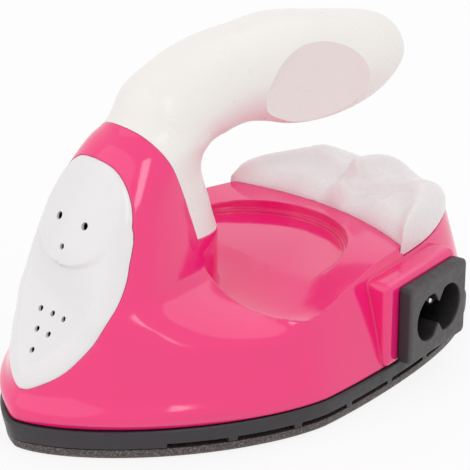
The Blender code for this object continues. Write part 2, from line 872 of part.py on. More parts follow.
def body_screw_places():
    return {
        "front": Vector((0.0, NOSE_SCREW_Y, 0.0)),
        "right": Vector((REAR_SCREW_X, REAR_SCREW_Y, 0.0)),
        "left": Vector((-REAR_SCREW_X, REAR_SCREW_Y, 0.0)),
    }


def clamp_screw_places():
    return {
        "right": Vector((HEATER_WIDTH / 2 + CLAMP_SHEET + CLAMP_FOOT / 2 + GAP, PAD_Y, 0.0)),
        "left": Vector((-HEATER_WIDTH / 2 - CLAMP_SHEET - CLAMP_FOOT / 2 - GAP, PAD_Y, 0.0)),
    }


def up(point, z):
    return Vector((point.x, point.y, z))


def upright_way(name, radius, spot, low):
    # Round cutter standing on a height, open at the top
    return rod(name, radius, up(spot, low), up(spot, CLEAR_TOP_Z), segments=SMALL_SEGMENTS)


def build_sole():
    rings = [
        sole_ring(0.0, -SOLE_CHAMFER),
        sole_ring(SOLE_CHAMFER * 0.3, -SOLE_CHAMFER * 0.35),
        sole_ring(SOLE_CHAMFER * 0.8, 0.0),
        sole_ring(SOLE_EDGE, 0.0),
    ]
    sole = loft("soleplate", rings, "sole_metal")
    inset = -RING_SHELF - PAD_CLEARANCE
    pad = loft("sole_pad", [sole_ring(SOLE_EDGE / 2, inset), sole_ring(PAD_TOP, inset)])
    join(sole, pad)
    for side, spot in body_screw_places().items():
        boss = rod(
            "sole_boss_" + side, SOLE_BOSS_RADIUS, up(spot, SOLE_EDGE / 2), up(spot, SOLE_BOSS_TOP)
        )
        join(sole, boss)
        cut(sole, upright_way("sole_hole_" + side, SCREW_HOLE, spot, SCREW_FLOOR))
    for side, spot in clamp_screw_places().items():
        cut(sole, upright_way("pad_hole_" + side, SCREW_HOLE, spot, SCREW_FLOOR))
    return sole


def slot_places():
    # Start and end of each slot along one side, nose to heel
    spots = []
    y = SLOT_START_Y
    while y < SLOT_END_Y:
        step = Vector((sole_half_width(y + SLOT_LENGTH) - sole_half_width(y), SLOT_LENGTH))
        length = SLOT_LENGTH * SLOT_LENGTH / step.length
        spots.append((y, y + length))
        y += length + SLOT_RIB
    return spots


def slot_cutter(name, side, start, end):
    outline = []
    for k in range(4):
        y = start + (end - start) * k / 3
        outline.append((side * (sole_half_width(y) + OVERCUT / 4), y))
    for k in range(4):
        y = end + (start - end) * k / 3
        outline.append((side * (sole_half_width(y) - SLOT_DEPTH), y))
    low = SOLE_EDGE - SLOT_HEIGHT
    return prism(name, outline, low, SOLE_EDGE + GAP + SLOT_HEIGHT, "Z")


def build_ring():
    low = SOLE_EDGE + GAP
    rings = [
        sole_ring(low, RING_OVERHANG / 2, nose=RING_OVERHANG / 2),
        sole_ring(low + (RING_TOP - low) * 0.45, RING_OVERHANG, nose=RING_NOSE_OVERHANG * 0.7),
        sole_ring(RING_TOP - SOLE_CHAMFER / 4, RING_OVERHANG, nose=RING_NOSE_OVERHANG),
        sole_ring(RING_TOP, RING_OVERHANG / 2, nose=RING_NOSE_OVERHANG / 2),
    ]
    ring = loft("heat_ring", rings, "ring_black")
    outer = (-RING_LIP_INSET, 30, -RING_LIP_NOSE_INSET)
    inner = (-RING_LIP_INSET - RING_LIP_WALL, 30, -RING_LIP_NOSE_INSET - RING_LIP_WALL)
    lip = loft(
        "ring_lip",
        [sole_ring(RING_TOP - SLOT_HEIGHT, *outer), sole_ring(RING_LIP_TOP, *outer)],
    )
    join(ring, lip)
    middle = loft(
        "ring_middle",
        [
            sole_ring(RING_TOP - SOLE_CHAMFER, *inner),
            sole_ring(RING_LIP_TOP + OVERCUT, *inner),
        ],
    )
    cut(ring, middle)
    notch_length = BOSS_FRONT + BOSS_REAR + 4 * GAP
    notch = box(
        "ring_notch",
        (BOSS_DEPTH * 2, notch_length, OVERCUT),
        inlet_point(-BOSS_DEPTH, (BOSS_REAR - BOSS_FRONT) / 2, RING_TOP + OVERCUT / 2),
        turn=inlet_turn(),
    )
    cut(ring, notch)
    window = loft(
        "ring_window",
        [sole_ring(-OVERCUT, -RING_SHELF), sole_ring(OVERCUT, -RING_SHELF)],
    )
    cut(ring, window)
    nose_hole = rod(
        "ring_nose_hole", SOLE_BOSS_RADIUS + GAP,
        up(body_screw_places()["front"], -OVERCUT), up(body_screw_places()["front"], OVERCUT),
    )
    cut(ring, nose_hole)
    for side in ("right", "left"):
        spot = body_screw_places()[side]
        hole = rod(
            "ring_hole_" + side, SOLE_BOSS_RADIUS + GAP, up(spot, -OVERCUT), up(spot, OVERCUT)
        )
        cut(ring, hole)
    for i, (start, end) in enumerate(slot_places()):
        for side in (1, -1):
            cut(ring, slot_cutter("slot_%d_%d" % (i, side + 1), side, start, end))
    return ring


# Shell


def split_prism(name, shift_y, shift_z, upper):
    path = [(y + shift_y, z + shift_z) for y, z in split_path()]
    foot = path[-1]
    top = OVERALL_HEIGHT + OVERCUT
    back = SOLE_LENGTH
    if upper:
        outline = path + [(back, foot[1]), (back, top), (path[0][0], top)]
    else:
        outline = path + [(foot[0], 0.0), (path[0][0], 0.0)]
    return prism(name, outline, -SOLE_WIDTH, SOLE_WIDTH, "X")


def deck_cutter(name, drop):
    half = SOLE_WIDTH / 2 + OVERCUT / 4
    stations = [-half * s for s in reversed(DECK_SIDE_SHARES[1:])]
    stations += [half * s for s in DECK_SIDE_SHARES]
    rings = []
    for x in stations:
        wall = deck_front_y(x) - drop
        beside = smooth((abs(x) / half - 0.15) / 0.2)
        beyond = smooth((abs(x) / half - 0.55) / 0.3)
        fillet = WAIST_BLEND * (0.25 + 0.75 * beside) * (1.0 - 0.6 * beyond)
        ring = [(wall, CLEAR_TOP_Z), (wall, (CLEAR_TOP_Z + deck_z(wall)) / 2)]
        for k in range(6):
            angle = math.pi / 2 * k / 5
            y = wall + fillet * (1.0 - math.cos(angle))
            z = deck_z(wall + fillet) - drop + fillet * (1.0 - math.sin(angle))
            ring.append((y, z))
        start = wall + fillet
        for k in range(1, 12):
            y = start + (BED_FRONT_Y + OVERCUT / 4 - start) * k / 11
            ring.append((y, deck_z(y) - drop))
        ring.append((SOLE_LENGTH, deck_z(SOLE_LENGTH) - drop))
        ring.append((SOLE_LENGTH, CLEAR_TOP_Z))
        rings.append([Vector((x, y, z)) for y, z in ring])
    return loft(name, rings)


def bed_cutter(name, drop):
    half = SOLE_WIDTH / 2 + OVERCUT / 4
    rings = []
    for i in range(-8, 9):
        x = half * i / 8
        front = bed_front_y(x) - drop
        ring = [(front, CLEAR_TOP_Z), (front, bed_z(front) - drop)]
        for k in range(1, 9):
            y = front + (SOLE_LENGTH / 2 + OVERCUT - front) * k / 8
            ring.append((y, bed_z(y) - drop))
        ring.append((ring[-1][0], CLEAR_TOP_Z))
        rings.append([Vector((x, y, z)) for y, z in ring])
    return loft(name, rings)


def well_cutter(name, grow, floor, count=46):
    # Round well, closed at the front by a straight line over the low part of the deck
    radius = WELL_RADIUS + grow
    start = math.asin((WELL_FRONT_Y - WELL_Y) / radius)
    outline = []
    for i in range(count + 1):
        angle = start + (math.pi - 2.0 * start) * i / count
        outline.append((radius * math.cos(angle), WELL_Y + radius * math.sin(angle)))
    return prism(name, outline, floor, CLEAR_TOP_Z, "Z")


def inlet_turn():
    return Matrix.Rotation(INLET_YAW, 4, "Z")


def inlet_point(outward, along, z):
    offset = inlet_turn() @ Vector((outward, along, 0.0))
    return Vector((INLET_X + offset.x, INLET_Y + offset.y, z))


def plate_outline(scale, count=40):
    half = [(w * SOLE_WIDTH, h * OVERALL_HEIGHT) for h, w in PLATE_SHARES]
    line = smooth_path(half, 4)
    line = resample(line, count // 2 + 1)
    line = line + [(-x, z) for x, z in reversed(line[1:-1])]
    return [(x * scale, PLATE_CENTRE_Z + (z - PLATE_CENTRE_Z) * scale) for x, z in line]


def plate_y(x, z):
    # Front of the plate: nose surface with a sunken middle below a flat round dome
    outer = surface_y(x, z)
    crest, middle = interpolate(VALLEY_SHARES, z / OVERALL_HEIGHT)
    inside = min(1.0, abs(x) / (crest * SOLE_WIDTH))
    lower = outer
    if inside < 1.0 and z > VALLEY_SHARES[0][0] * OVERALL_HEIGHT:
        ridge = surface_y(crest * SOLE_WIDTH, z)
        lower = ridge + (middle * SOLE_LENGTH - ridge) * (1.0 - inside * inside)
    face = interpolate(FACE_SHARES, z / OVERALL_HEIGHT)[0] * SOLE_LENGTH
    upper = max(outer, face + x * x / FACE_BOW)
    reach = math.hypot(x / DOME_WIDTH, (z - DOME_Z) / DOME_HEIGHT)
    dome = smooth((1.0 - reach) * DOME_HEIGHT / DOME_SOFTNESS + 0.5)
    return lower + (upper - lower) * dome


def plate_ring(share, depth, detail=False, scale=1.0):
    ring = []
    for x, z in plate_outline(share * scale):
        ring.append(Vector((x, (plate_y(x, z) if detail else surface_y(x, z)) + depth, z)))
    return ring


def plate_cutter(name, scale, depth):
    rings = [plate_ring(share, depth, scale=scale) for share in PLATE_SEAT_SHARES]
    ahead = -SOLE_LENGTH / 2 - OVERCUT
    rings.append([Vector((point.x, ahead, point.z)) for point in rings[-1]])
    return loft(name, rings)


def opening_cutter(name, scale):
    outline = plate_outline(scale)
    rings = []
    for place_y in (-SOLE_LENGTH / 2 - OVERCUT, TOWER_SHARES[0][1] * SOLE_LENGTH):
        rings.append([Vector((x, place_y, z)) for x, z in outline])
    return loft(name, rings)


def shell_rings(grow, counts, levels, upper, stations):
    rings = [full_level(s * OVERALL_HEIGHT, grow, *counts) for s in levels]
    rings += [tower_ring(s * OVERALL_HEIGHT, grow, counts) for s in upper]
    rings += [arch_ring(s, grow, counts) for s in stations]
    return rings


def build_cavity():
    counts = (CAVITY_FRONT_POINTS, CAVITY_REAR_POINTS)
    tables = (CAVITY_LEVEL_SHARES, CAVITY_UPPER_SHARES, CAVITY_STATIONS)
    cavity = loft("cavity", shell_rings(-SHELL_WALL, counts, *tables))
    cut(cavity, split_prism("cavity_split", -SHELL_WALL * 0.8, -SHELL_WALL, True))
    cut(cavity, deck_cutter("cavity_deck", SHELL_WALL))
    cut(cavity, bed_cutter("cavity_bed", SHELL_WALL))
    cut(cavity, well_cutter("cavity_well", SHELL_WALL * 0.9, WELL_FLOOR_Z - SHELL_WALL, 32))
    return cavity


def build_shell():
    counts = (FRONT_POINTS, REAR_POINTS)
    tables = (LEVEL_SHARES, UPPER_LEVEL_SHARES, SHELL_STATIONS)
    shell = loft("main_housing", shell_rings(0.0, counts, *tables), "shell_pink")
    cut(shell, build_cavity())
    span = BOSS_FRONT + BOSS_REAR
    height = BOSS_TOP - SHELL_BASE
    boss_middle = (BOSS_REAR - BOSS_FRONT) / 2
    boss = box(
        "inlet_boss",
        (BOSS_DEPTH, span, height),
        inlet_point(-INLET_FLANGE - GAP - BOSS_DEPTH / 2, boss_middle, SHELL_BASE + height / 2),
        turn=inlet_turn(),
        bevel=BOSS_ROUND,
    )
    join(shell, boss)
    for side, spot in body_screw_places().items():
        top = NOSE_HEAD_SEAT_Z if side == "front" else bed_z(spot.y) - SHELL_WALL / 2
        tube = rod("post_" + side, BOSS_TUBE, up(spot, POST_BASE), up(spot, top))
        join(shell, tube)
    nose = body_screw_places()["front"]
    rib_base = RING_LIP_TOP + 2 * GAP
    rib_top = NOSE_HEAD_SEAT_Z - SHELL_WALL / 2
    rib_size = (NOSE_WALL, BOSS_TUBE * 2, rib_top - rib_base)
    rib_centre = up(nose, (rib_top + rib_base) / 2) - Vector((0.0, BOSS_TUBE * 1.5, 0.0))
    join(shell, box("nose_rib", rib_size, rib_centre))
    post = lamp_screw_place()
    post_root = Vector((0.0, split_point(post.z)[0].y - SHELL_WALL / 2, post.z))
    join(shell, rod("lamp_post", POST_RADIUS, post, post_root))
    cut(shell, split_prism("shell_split", 0.0, 0.0, True))
    cut(shell, deck_cutter("deck_cut", 0.0))
    cut(shell, bed_cutter("bed_cut", 0.0))
    cut(shell, well_cutter("well_upper", 0.0, WELL_STEP_Z))
    cut(shell, well_cutter("well_lower", -WELL_STEP, WELL_FLOOR_Z))
    cut(shell, plate_cutter("plate_seat", 1.0 + GAP / DOME_WIDTH, PLATE_THICKNESS + 2 * GAP))
    cut(shell, opening_cutter("plate_opening", 0.82))
    hole = box(
        "inlet_hole",
        (BOSS_DEPTH * 4, INLET_BODY_WIDTH + 2 * GAP, INLET_BODY_HEIGHT + 2 * GAP),
        inlet_point(-INLET_FLANGE - BOSS_DEPTH, 0.0, INLET_Z),
        turn=inlet_turn(),
    )
    cut(shell, hole)
    retainer_way = inlet_prism(
        "retainer_way",
        rounded_outline(RETAINER_WIDTH + 2 * GAP, RETAINER_HEIGHT + 2 * GAP, INLET_BEVEL * 2),
        GAP - RETAINER_DEPTH,
        -GAP - RETAINER_DEPTH - RETAINER_THICKNESS,
    )
    cut(shell, retainer_way)
    hole = SCREW_HOLE + GAP
    profile = [(hole, 0.0), (hole, HEAD_SEAT_Z), (HEAD_HOLE, HEAD_SEAT_Z)]
    profile.append((HEAD_HOLE, CLEAR_TOP_Z))
    for side, spot in body_screw_places().items():
        if side == "front":
            cut(shell, upright_way("screw_way_front", hole, spot, 0.0))
        else:
            cut(shell, turned("screw_way_" + side, profile, spot, (0.0, 0.0, 1.0)))
    bore = post + Vector((0.0, LAMP_SCREW_REACH + GAP, 0.0))
    bore_start = post - Vector((0.0, NOSE_WALL, 0.0))
    cut(shell, rod("lamp_post_bore", SCREW_HOLE, bore_start, bore, segments=SMALL_SEGMENTS))
    for height_name, z in (("upper", HANDLE_SCREW_UPPER_Z), ("lower", HANDLE_SCREW_LOWER_Z)):
        point, ahead = split_point(z)
        start = point - ahead * NOSE_WALL * 2
        cut(
            shell,
            rod("seat_way_" + height_name, SCREW_HOLE, start, point + ahead * NOSE_WALL,
                segments=SMALL_SEGMENTS),
        )
    for side in (1, -1):
        spot = Vector((side * PEG_X, PEG_Y, 0.0))
        cut(shell, upright_way("peg_way_%d" % (side + 1), PEG_RADIUS + GAP, spot, 0.0))
    return shell


# Plate, handle and cover


def build_plate():
    rings = [plate_ring(share, -PLATE_PROUD, detail=True) for share in PLATE_RING_SHARES]
    rings.append(plate_ring(0.965, -PLATE_PROUD * 0.7, detail=True))
    rings.append(plate_ring(1.0, PLATE_PROUD * 0.6))
    rings.append(plate_ring(1.0, PLATE_THICKNESS))
    rings += [plate_ring(share, PLATE_THICKNESS, detail=share < 0.8) for share in PLATE_BACK_SHARES]
    plate = loft("front_plate", rings, "plate_white")
    vents = [(0.0, LAMP_VENT_LOW_Z, VENT_RADIUS)]
    for side in (1, -1):
        vents.append((side * LAMP_VENT_X, LAMP_VENT_Z, LAMP_VENT_RADIUS))
    for row in range(3):
        for k in range(3 - row):
            x = VENT_PITCH_X * (k - (2 - row) / 2)
            vents.append((x, VENT_ROW_Z - row * VENT_PITCH_Z, VENT_RADIUS))
    for i, (x, z, radius) in enumerate(vents):
        spot = Vector((x, plate_y(x, z), z))
        reach = Vector((0.0, -1.0, VENT_RISE_SHARE)).normalized() * OVERCUT / 4
        ends = (spot - reach, spot + reach)
        cut(plate, rod("vent_%d" % i, radius, *ends, segments=VENT_SEGMENTS))
    return plate


def build_handle():
    counts = (HANDLE_POINTS, HANDLE_POINTS)
    rings = [tower_ring(s * OVERALL_HEIGHT, 0.0, counts) for s in STEM_LEVEL_SHARES]
    rings += [arch_ring(station, 0.0, counts) for station in HANDLE_STATIONS]
    handle = loft("handle", rings, "handle_white")
    cut(handle, split_prism("handle_split", GAP * 0.9, GAP * 0.5, False))
    for side in (1, -1):
        bm = bmesh.new()
        bmesh.ops.create_uvsphere(bm, u_segments=40, v_segments=22, radius=1.0)
        place(bm, Matrix.Diagonal((SCOOP_DEPTH_X, SCOOP_LENGTH, SCOOP_HEIGHT, 1.0)))
        place(bm, Matrix.Rotation(side * SCOOP_TILT, 4, "Y"))
        place(bm, Matrix.Translation((side * (SCOOP_BOTTOM_X + SCOOP_DEPTH_X), SCOOP_Y, SCOOP_Z)))
        cut(handle, finish_mesh("scoop_%d" % (side + 1), bm, None))
    for height_name, z in (("upper", HANDLE_SCREW_UPPER_Z), ("lower", HANDLE_SCREW_LOWER_Z)):
        point, ahead = split_point(z)
        end = point + ahead * (HANDLE_SCREW_REACH + GAP * 2)
        cut(
            handle,
            rod("handle_hole_" + height_name, SCREW_HOLE, point - ahead * NOSE_WALL, end,
                segments=SMALL_SEGMENTS),
        )
    return handle


def heel_line(count):
    # Rear outline of the shell at the level of the cover foot, left corner to right corner
    ring = full_level(COVER_LEVEL, 0.0, 80, 200)
    corner = bed_front_y(BED_CORNER_X)
    right = [(p.x, p.y) for p in ring[: len(ring) // 2 + 1] if p.y > corner]
    line = [(-x, y) for x, y in right] + [(x, y) for x, y in reversed(right[:-1])]
    return resample(line, count)


def build_cover():
    heel = heel_line(HEEL_POINTS)
    rings = []
    for i in range(COVER_COLUMNS):
        u = COVER_REACH_SHARE * (2.0 * i / (COVER_COLUMNS - 1) - 1.0)
        x0 = heel[0][0] * -u
        start = Vector((x0, bed_front_y(x0) + GAP, 0.0))
        end = Vector((*heel[round((HEEL_POINTS - 1) * (u + 1.0) / 2)], 0.0))
        crest_z, crest = interpolate(CREST_SHARES, abs(u))
        crest_z = crest_z * OVERALL_HEIGHT
        front_z = deck_z(start.y) + COVER_EDGE
        back_z = bed_z(end.y) + GAP + COVER_EDGE
        top = []
        for s in COVER_STEP_SHARES:
            rise = interpolate(RISE_SHARES, s)[0]
            top.append((s * crest, front_z + (crest_z - front_z) * rise))
        for k in range(1, 7):
            angle = math.pi / 2 * k / 6
            s = crest + (1.0 - crest) * math.sin(angle)
            top.append((s, back_z + (crest_z - back_z) * math.cos(angle)))
        reach = (end - start).length
        wall = min(0.45, COVER_WALL / reach)
        hollow = 1.0 - smooth((abs(u) - 0.72) / 0.2)
        ring = [(0.0, bed_z(start.y) + GAP)] + top + [(1.0, bed_z(end.y) + GAP)]
        under = []
        for s, z in reversed(top[1:-1:2]):
            s = wall + (1.0 - 2.0 * wall) * s
            floor = bed_z(start.y + (end.y - start.y) * s) + GAP
            under.append((s, floor + max(0.0, z - COVER_WALL - floor) * hollow))
        ring += [(1.0 - wall, bed_z(end.y) + GAP)] + under + [(wall, bed_z(start.y) + GAP)]
        rings.append([Vector((*(start + (end - start) * s).xy, z)) for s, z in ring])
    cover = loft("rear_cover", rings, "cover_white")
    for side in (1, -1):
        spot = Vector((side * PEG_X, PEG_Y, 0.0))
        peg = rod(
            "peg_%d" % (side + 1), PEG_RADIUS,
            up(spot, bed_z(PEG_Y) - PEG_DEPTH), up(spot, PEG_TOP_Z), segments=SMALL_SEGMENTS,
        )
        join(cover, peg)
    return cover


# Inlet


def eight_outline(count=14):
    # Figure-eight outline: two round lobes with a pointed notch above and below
    offset = LOBE_SPACING / 2
    sweep = math.pi - math.acos((offset - NOTCH_HALF) / LOBE_RADIUS)
    lobe = []
    for k in range(count + 1):
        angle = sweep * (2.0 * k / count - 1.0)
        lobe.append((offset + LOBE_RADIUS * math.cos(angle), LOBE_RADIUS * math.sin(angle)))
    half = lobe + [(0.0, NOTCH_TIP)]
    return half + [(-x, -z) for x, z in half]


def inlet_prism(name, outline, near, far, finish=None):
    rings = []
    for outward in (near, far):
        rings.append([inlet_point(outward, a, INLET_Z + b) for a, b in outline])
    return loft(name, rings, finish)


def rounded_outline(width, height, radius, steps=3):
    outline = []
    for cx, cz, start in ((1, 1, 0), (-1, 1, 1), (-1, -1, 2), (1, -1, 3)):
        for k in range(steps + 1):
            angle = math.pi / 2 * (start + k / steps)
            x = cx * (width / 2 - radius) + radius * math.cos(angle)
            z = cz * (height / 2 - radius) + radius * math.sin(angle)
            outline.append((x, z))
    return outline


def build_inlet():
    rings = []
    for outward, inset in (
        (0.0, INLET_BEVEL),
        (-INLET_BEVEL * 0.3, INLET_BEVEL * 0.3),
        (-INLET_BEVEL, 0.0),
        (-INLET_FLANGE, 0.0),
    ):
        outline = rounded_outline(INLET_WIDTH - 2 * inset, INLET_HEIGHT - 2 * inset, INLET_BEVEL)
        rings.append([inlet_point(outward, a, INLET_Z + b) for a, b in outline])
    inlet = loft("inlet_housing", rings, "inlet_black")
    body = inlet_prism(
        "inlet_body",
        rounded_outline(INLET_BODY_WIDTH, INLET_BODY_HEIGHT, INLET_BEVEL),
        -INLET_FLANGE / 2,
        -INLET_BODY_DEPTH,
    )
    join(inlet, body)
    socket = inlet_prism("socket", eight_outline(), OVERCUT / 4, -SOCKET_DEPTH)
    cut(inlet, socket)
    for side in (1, -1):
        hole = rod(
            "pin_way_%d" % (side + 1),
            PIN_RADIUS + GAP,
            inlet_point(-SOCKET_DEPTH / 2, side * PIN_SPACING / 2, INLET_Z),
            inlet_point(-INLET_BODY_DEPTH - OVERCUT, side * PIN_SPACING / 2, INLET_Z),
            segments=SMALL_SEGMENTS,
        )
        cut(inlet, hole)


def build_pins():
    for name, side in (("inlet_pin_live", -1), ("inlet_pin_neutral", 1)):
        start = inlet_point(-PIN_TAIL, side * PIN_SPACING / 2, INLET_Z)
        outward = inlet_turn() @ Vector((1.0, 0.0, 0.0))
        length = PIN_TAIL - PIN_TIP
        profile = (
            (PIN_RADIUS, 0.0),
            (PIN_RADIUS, length - PIN_RADIUS * 0.7),
            (PIN_RADIUS * 0.85, length - PIN_RADIUS * 0.25),
            (PIN_RADIUS * 0.45, length),
        )
        turned(name, profile, start, outward, "bright_metal")


def build_retainer():
    retainer = inlet_prism(
        "inlet_retainer",
        rounded_outline(RETAINER_WIDTH, RETAINER_HEIGHT, INLET_BEVEL * 2),
        -RETAINER_DEPTH,
        -RETAINER_DEPTH - RETAINER_THICKNESS,
        "strap_steel",
    )
    window = inlet_prism(
        "retainer_window",
        rounded_outline(INLET_BODY_WIDTH + 2 * GAP, INLET_BODY_HEIGHT + 2 * GAP, INLET_BEVEL),
        0.0,
        -RETAINER_DEPTH - RETAINER_THICKNESS * 2,
    )
    cut(retainer, window)


# Heater


def build_heater():
    heater_low = PAD_TOP + GAP
    heater_top = heater_low + HEATER_HEIGHT
    box(
        "heater_block",
        (HEATER_WIDTH, HEATER_LENGTH, HEATER_HEIGHT),
        (0.0, PAD_Y, (heater_low + heater_top) / 2),
        "ceramic_grey",
    )
    sheet_low = heater_top + GAP
    box(
        "insulation_sheet",
        (HEATER_WIDTH, HEATER_LENGTH, SHEET_HEIGHT),
        (0.0, PAD_Y, sheet_low + SHEET_HEIGHT / 2),
        "sheet_amber",
    )
    strap_low = sheet_low + SHEET_HEIGHT + GAP
    inner = HEATER_WIDTH / 2 + GAP
    outer = inner + CLAMP_SHEET
    foot = outer + CLAMP_FOOT
    half = [
        (inner, strap_low),
        (inner, heater_low),
        (foot, heater_low),
        (foot, heater_low + CLAMP_SHEET),
        (outer, heater_low + CLAMP_SHEET),
        (outer, strap_low + CLAMP_SHEET),
    ]
    outline = half + [(-x, z) for x, z in reversed(half)]
    ends = (PAD_Y - CLAMP_LENGTH / 2, PAD_Y + CLAMP_LENGTH / 2)
    strap = prism("heater_strap", outline, *ends, "Y", "strap_steel")
    for side, spot in clamp_screw_places().items():
        cut(strap, upright_way("strap_hole_" + side, SCREW_HOLE, spot, 0.0))
    return strap_low + CLAMP_SHEET


def build_fuse(strap_top):
    z = strap_top + GAP + FUSE_RADIUS
    taper = FUSE_RADIUS * 0.5
    profile = (
        (taper, 0.0),
        (FUSE_RADIUS, taper),
        (FUSE_RADIUS, FUSE_LENGTH - taper),
        (taper, FUSE_LENGTH),
    )
    turned("thermal_fuse", profile, (FUSE_X, PAD_Y - FUSE_LENGTH / 2, z), (0.0, 1.0, 0.0), "fuse_sleeve")
    return z


def lamp_screw_place():
    # Front end of the post that carries the lamp board
    return Vector((0.0, BOARD_Y, BOARD_Z + LAMP_DROP))


def build_lamp():
    board = box(
        "lamp_board",
        (BOARD_WIDTH, BOARD_THICKNESS, BOARD_HEIGHT),
        (0.0, BOARD_Y - GAP - BOARD_THICKNESS / 2, BOARD_Z),
        "board_green",
    )
    post = lamp_screw_place()
    hole_start = post - Vector((0.0, OVERCUT / 4, 0.0))
    cut(board, rod("board_hole", SCREW_HOLE, hole_start, post, segments=SMALL_SEGMENTS))
    start = (0.0, BOARD_Y - 2 * GAP - BOARD_THICKNESS, BOARD_Z - LAMP_DROP)
    flange = LAMP_RADIUS * 1.15
    step = LAMP_RADIUS * 0.5
    profile = [(flange, 0.0), (flange, step), (LAMP_RADIUS, step)]
    body = LAMP_LENGTH - LAMP_RADIUS
    for k in range(5):
        angle = math.pi / 2 * k / 5
        profile.append((LAMP_RADIUS * math.cos(angle), body + LAMP_RADIUS * math.sin(angle)))
    turned("indicator_lamp", profile, start, (0.0, -1.0, 0.0), "lamp_red")


# Screws and wires


def build_screw(name, seat, direction, length):
    # Screw with its head bottom on the seat point, shank along the direction
    direction = Vector(direction).normalized()
    profile = (
        (SCREW_RADIUS * 0.5, length),
        (SCREW_RADIUS, length - SCREW_RADIUS * 0.6),
        (SCREW_RADIUS, 0.0),
        (HEAD_RADIUS, 0.0),
        (HEAD_RADIUS, -HEAD_HEIGHT * 0.5),
        (HEAD_RADIUS * 0.7, -HEAD_HEIGHT),
    )
    screw = turned(name, profile, seat, direction, "bright_metal")
    top = Vector(seat) - direction * (HEAD_HEIGHT - DRIVE_DEPTH)
    for i, turn in enumerate((0.0, math.pi / 2)):
        size = (DRIVE_RADIUS * 2, DRIVE_RADIUS * 0.5, DRIVE_DEPTH * 2)
        matrix = aimed(-direction) @ Matrix.Rotation(turn, 4, "Z")
        centre = top - direction * DRIVE_DEPTH
        cut(screw, box(name + "_drive_%d" % i, size, centre, turn=matrix))


def build_screws(strap_foot_top):
    down = Vector((0.0, 0.0, -1.0))
    for side, spot in body_screw_places().items():
        seat = (NOSE_HEAD_SEAT_Z if side == "front" else HEAD_SEAT_Z) + GAP
        build_screw("body_screw_" + side, up(spot, seat), down, seat - SCREW_FLOOR - GAP)
    for side, spot in clamp_screw_places().items():
        seat = strap_foot_top + GAP
        build_screw("clamp_screw_" + side, up(spot, seat), down, seat - SCREW_FLOOR - GAP)
    board_front = Vector((0.0, BOARD_THICKNESS + 2 * GAP, 0.0))
    seat = lamp_screw_place() - board_front
    build_screw("lamp_screw", seat, (0.0, 1.0, 0.0), board_front.y + LAMP_SCREW_REACH)
    for height_name, z in (("upper", HANDLE_SCREW_UPPER_Z), ("lower", HANDLE_SCREW_LOWER_Z)):
        point, ahead = split_point(z)
        seat = point - ahead * HANDLE_SCREW_SEAT
        reach = HANDLE_SCREW_SEAT + HANDLE_SCREW_REACH
        build_screw("handle_screw_" + height_name, seat, ahead, reach)


def build_wires(fuse_z):
    gap = GAP * 2
    live = inlet_point(-PIN_TAIL - gap, -PIN_SPACING / 2, INLET_Z)
    neutral = inlet_point(-PIN_TAIL - gap, PIN_SPACING / 2, INLET_Z)
    inward = inlet_turn() @ Vector((-1.0, 0.0, 0.0))
    bend = WELL_RADIUS / 8
    fuse_rear = Vector((FUSE_X, PAD_Y + FUSE_LENGTH / 2 + gap, fuse_z))
    fuse_front = Vector((FUSE_X, PAD_Y - FUSE_LENGTH / 2 - gap, fuse_z))
    heater_mid = PAD_TOP + GAP + HEATER_HEIGHT / 2
    front_y = PAD_Y - HEATER_LENGTH / 2 - gap
    rear_y = PAD_Y + HEATER_LENGTH / 2 + gap
    wire(
        "wire_live",
        [
            live,
            live + inward * bend,
            (live + fuse_rear) / 2 + Vector((-bend, bend, 0.0)),
            fuse_rear + Vector((0.0, bend * 2, bend * 0.2)),
            fuse_rear,
        ],
        "wire_brown",
    )
    wire(
        "wire_fused",
        [
            fuse_front,
            fuse_front + Vector((0.0, -bend * 2, bend * 0.3)),
            Vector((FUSE_X, front_y - bend, fuse_z)),
            Vector((FUSE_X, front_y - bend * 1.5, (fuse_z + heater_mid) / 2)),
            Vector((FUSE_X, front_y - bend * 0.8, heater_mid)),
            Vector((FUSE_X, front_y, heater_mid)),
        ],
        "wire_brown",
    )
    wire(
        "wire_neutral",
        [
            neutral,
            neutral + inward * bend * 2,
            Vector((-FUSE_X * 2, rear_y + bend * 5, fuse_z)),
            Vector((-FUSE_X, rear_y + bend * 2, heater_mid + bend)),
            Vector((-FUSE_X, rear_y + bend, heater_mid)),
            Vector((-FUSE_X, rear_y, heater_mid)),
        ],
        "wire_blue",
    )
    board_foot = BOARD_Z - BOARD_HEIGHT / 2 - gap
    board_mid = BOARD_Y - GAP - BOARD_THICKNESS / 2
    pair = (("wire_lamp_live", -1, "wire_brown"), ("wire_lamp_neutral", 1, "wire_blue"))
    for name, side, finish in pair:
        x = side * HEATER_WIDTH * 0.38
        wire(
            name,
            [
                Vector((side * BOARD_WIDTH * 0.3, board_mid, board_foot)),
                Vector((side * BOARD_WIDTH * 0.3, board_mid, board_foot - bend * 2)),
                Vector((x, front_y - bend * 1.5, (board_foot + heater_mid) / 2)),
                Vector((x, front_y - bend * 1.5, heater_mid + bend * 2)),
                Vector((x, front_y - bend, heater_mid)),
                Vector((x, front_y, heater_mid)),
            ],
            finish,
        )


def main():
    clear_scene()
    build_sole()
    build_ring()
    build_shell()
    build_plate()
    build_handle()
    build_cover()
    build_inlet()
    build_pins()
    build_retainer()
    strap_top = build_heater()
    fuse_z = build_fuse(strap_top)
    build_lamp()
    build_screws(PAD_TOP + GAP + CLAMP_SHEET)
    build_wires(fuse_z)


main()
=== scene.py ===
import json
import math

import bmesh
import bpy
from mathutils import Matrix, Vector


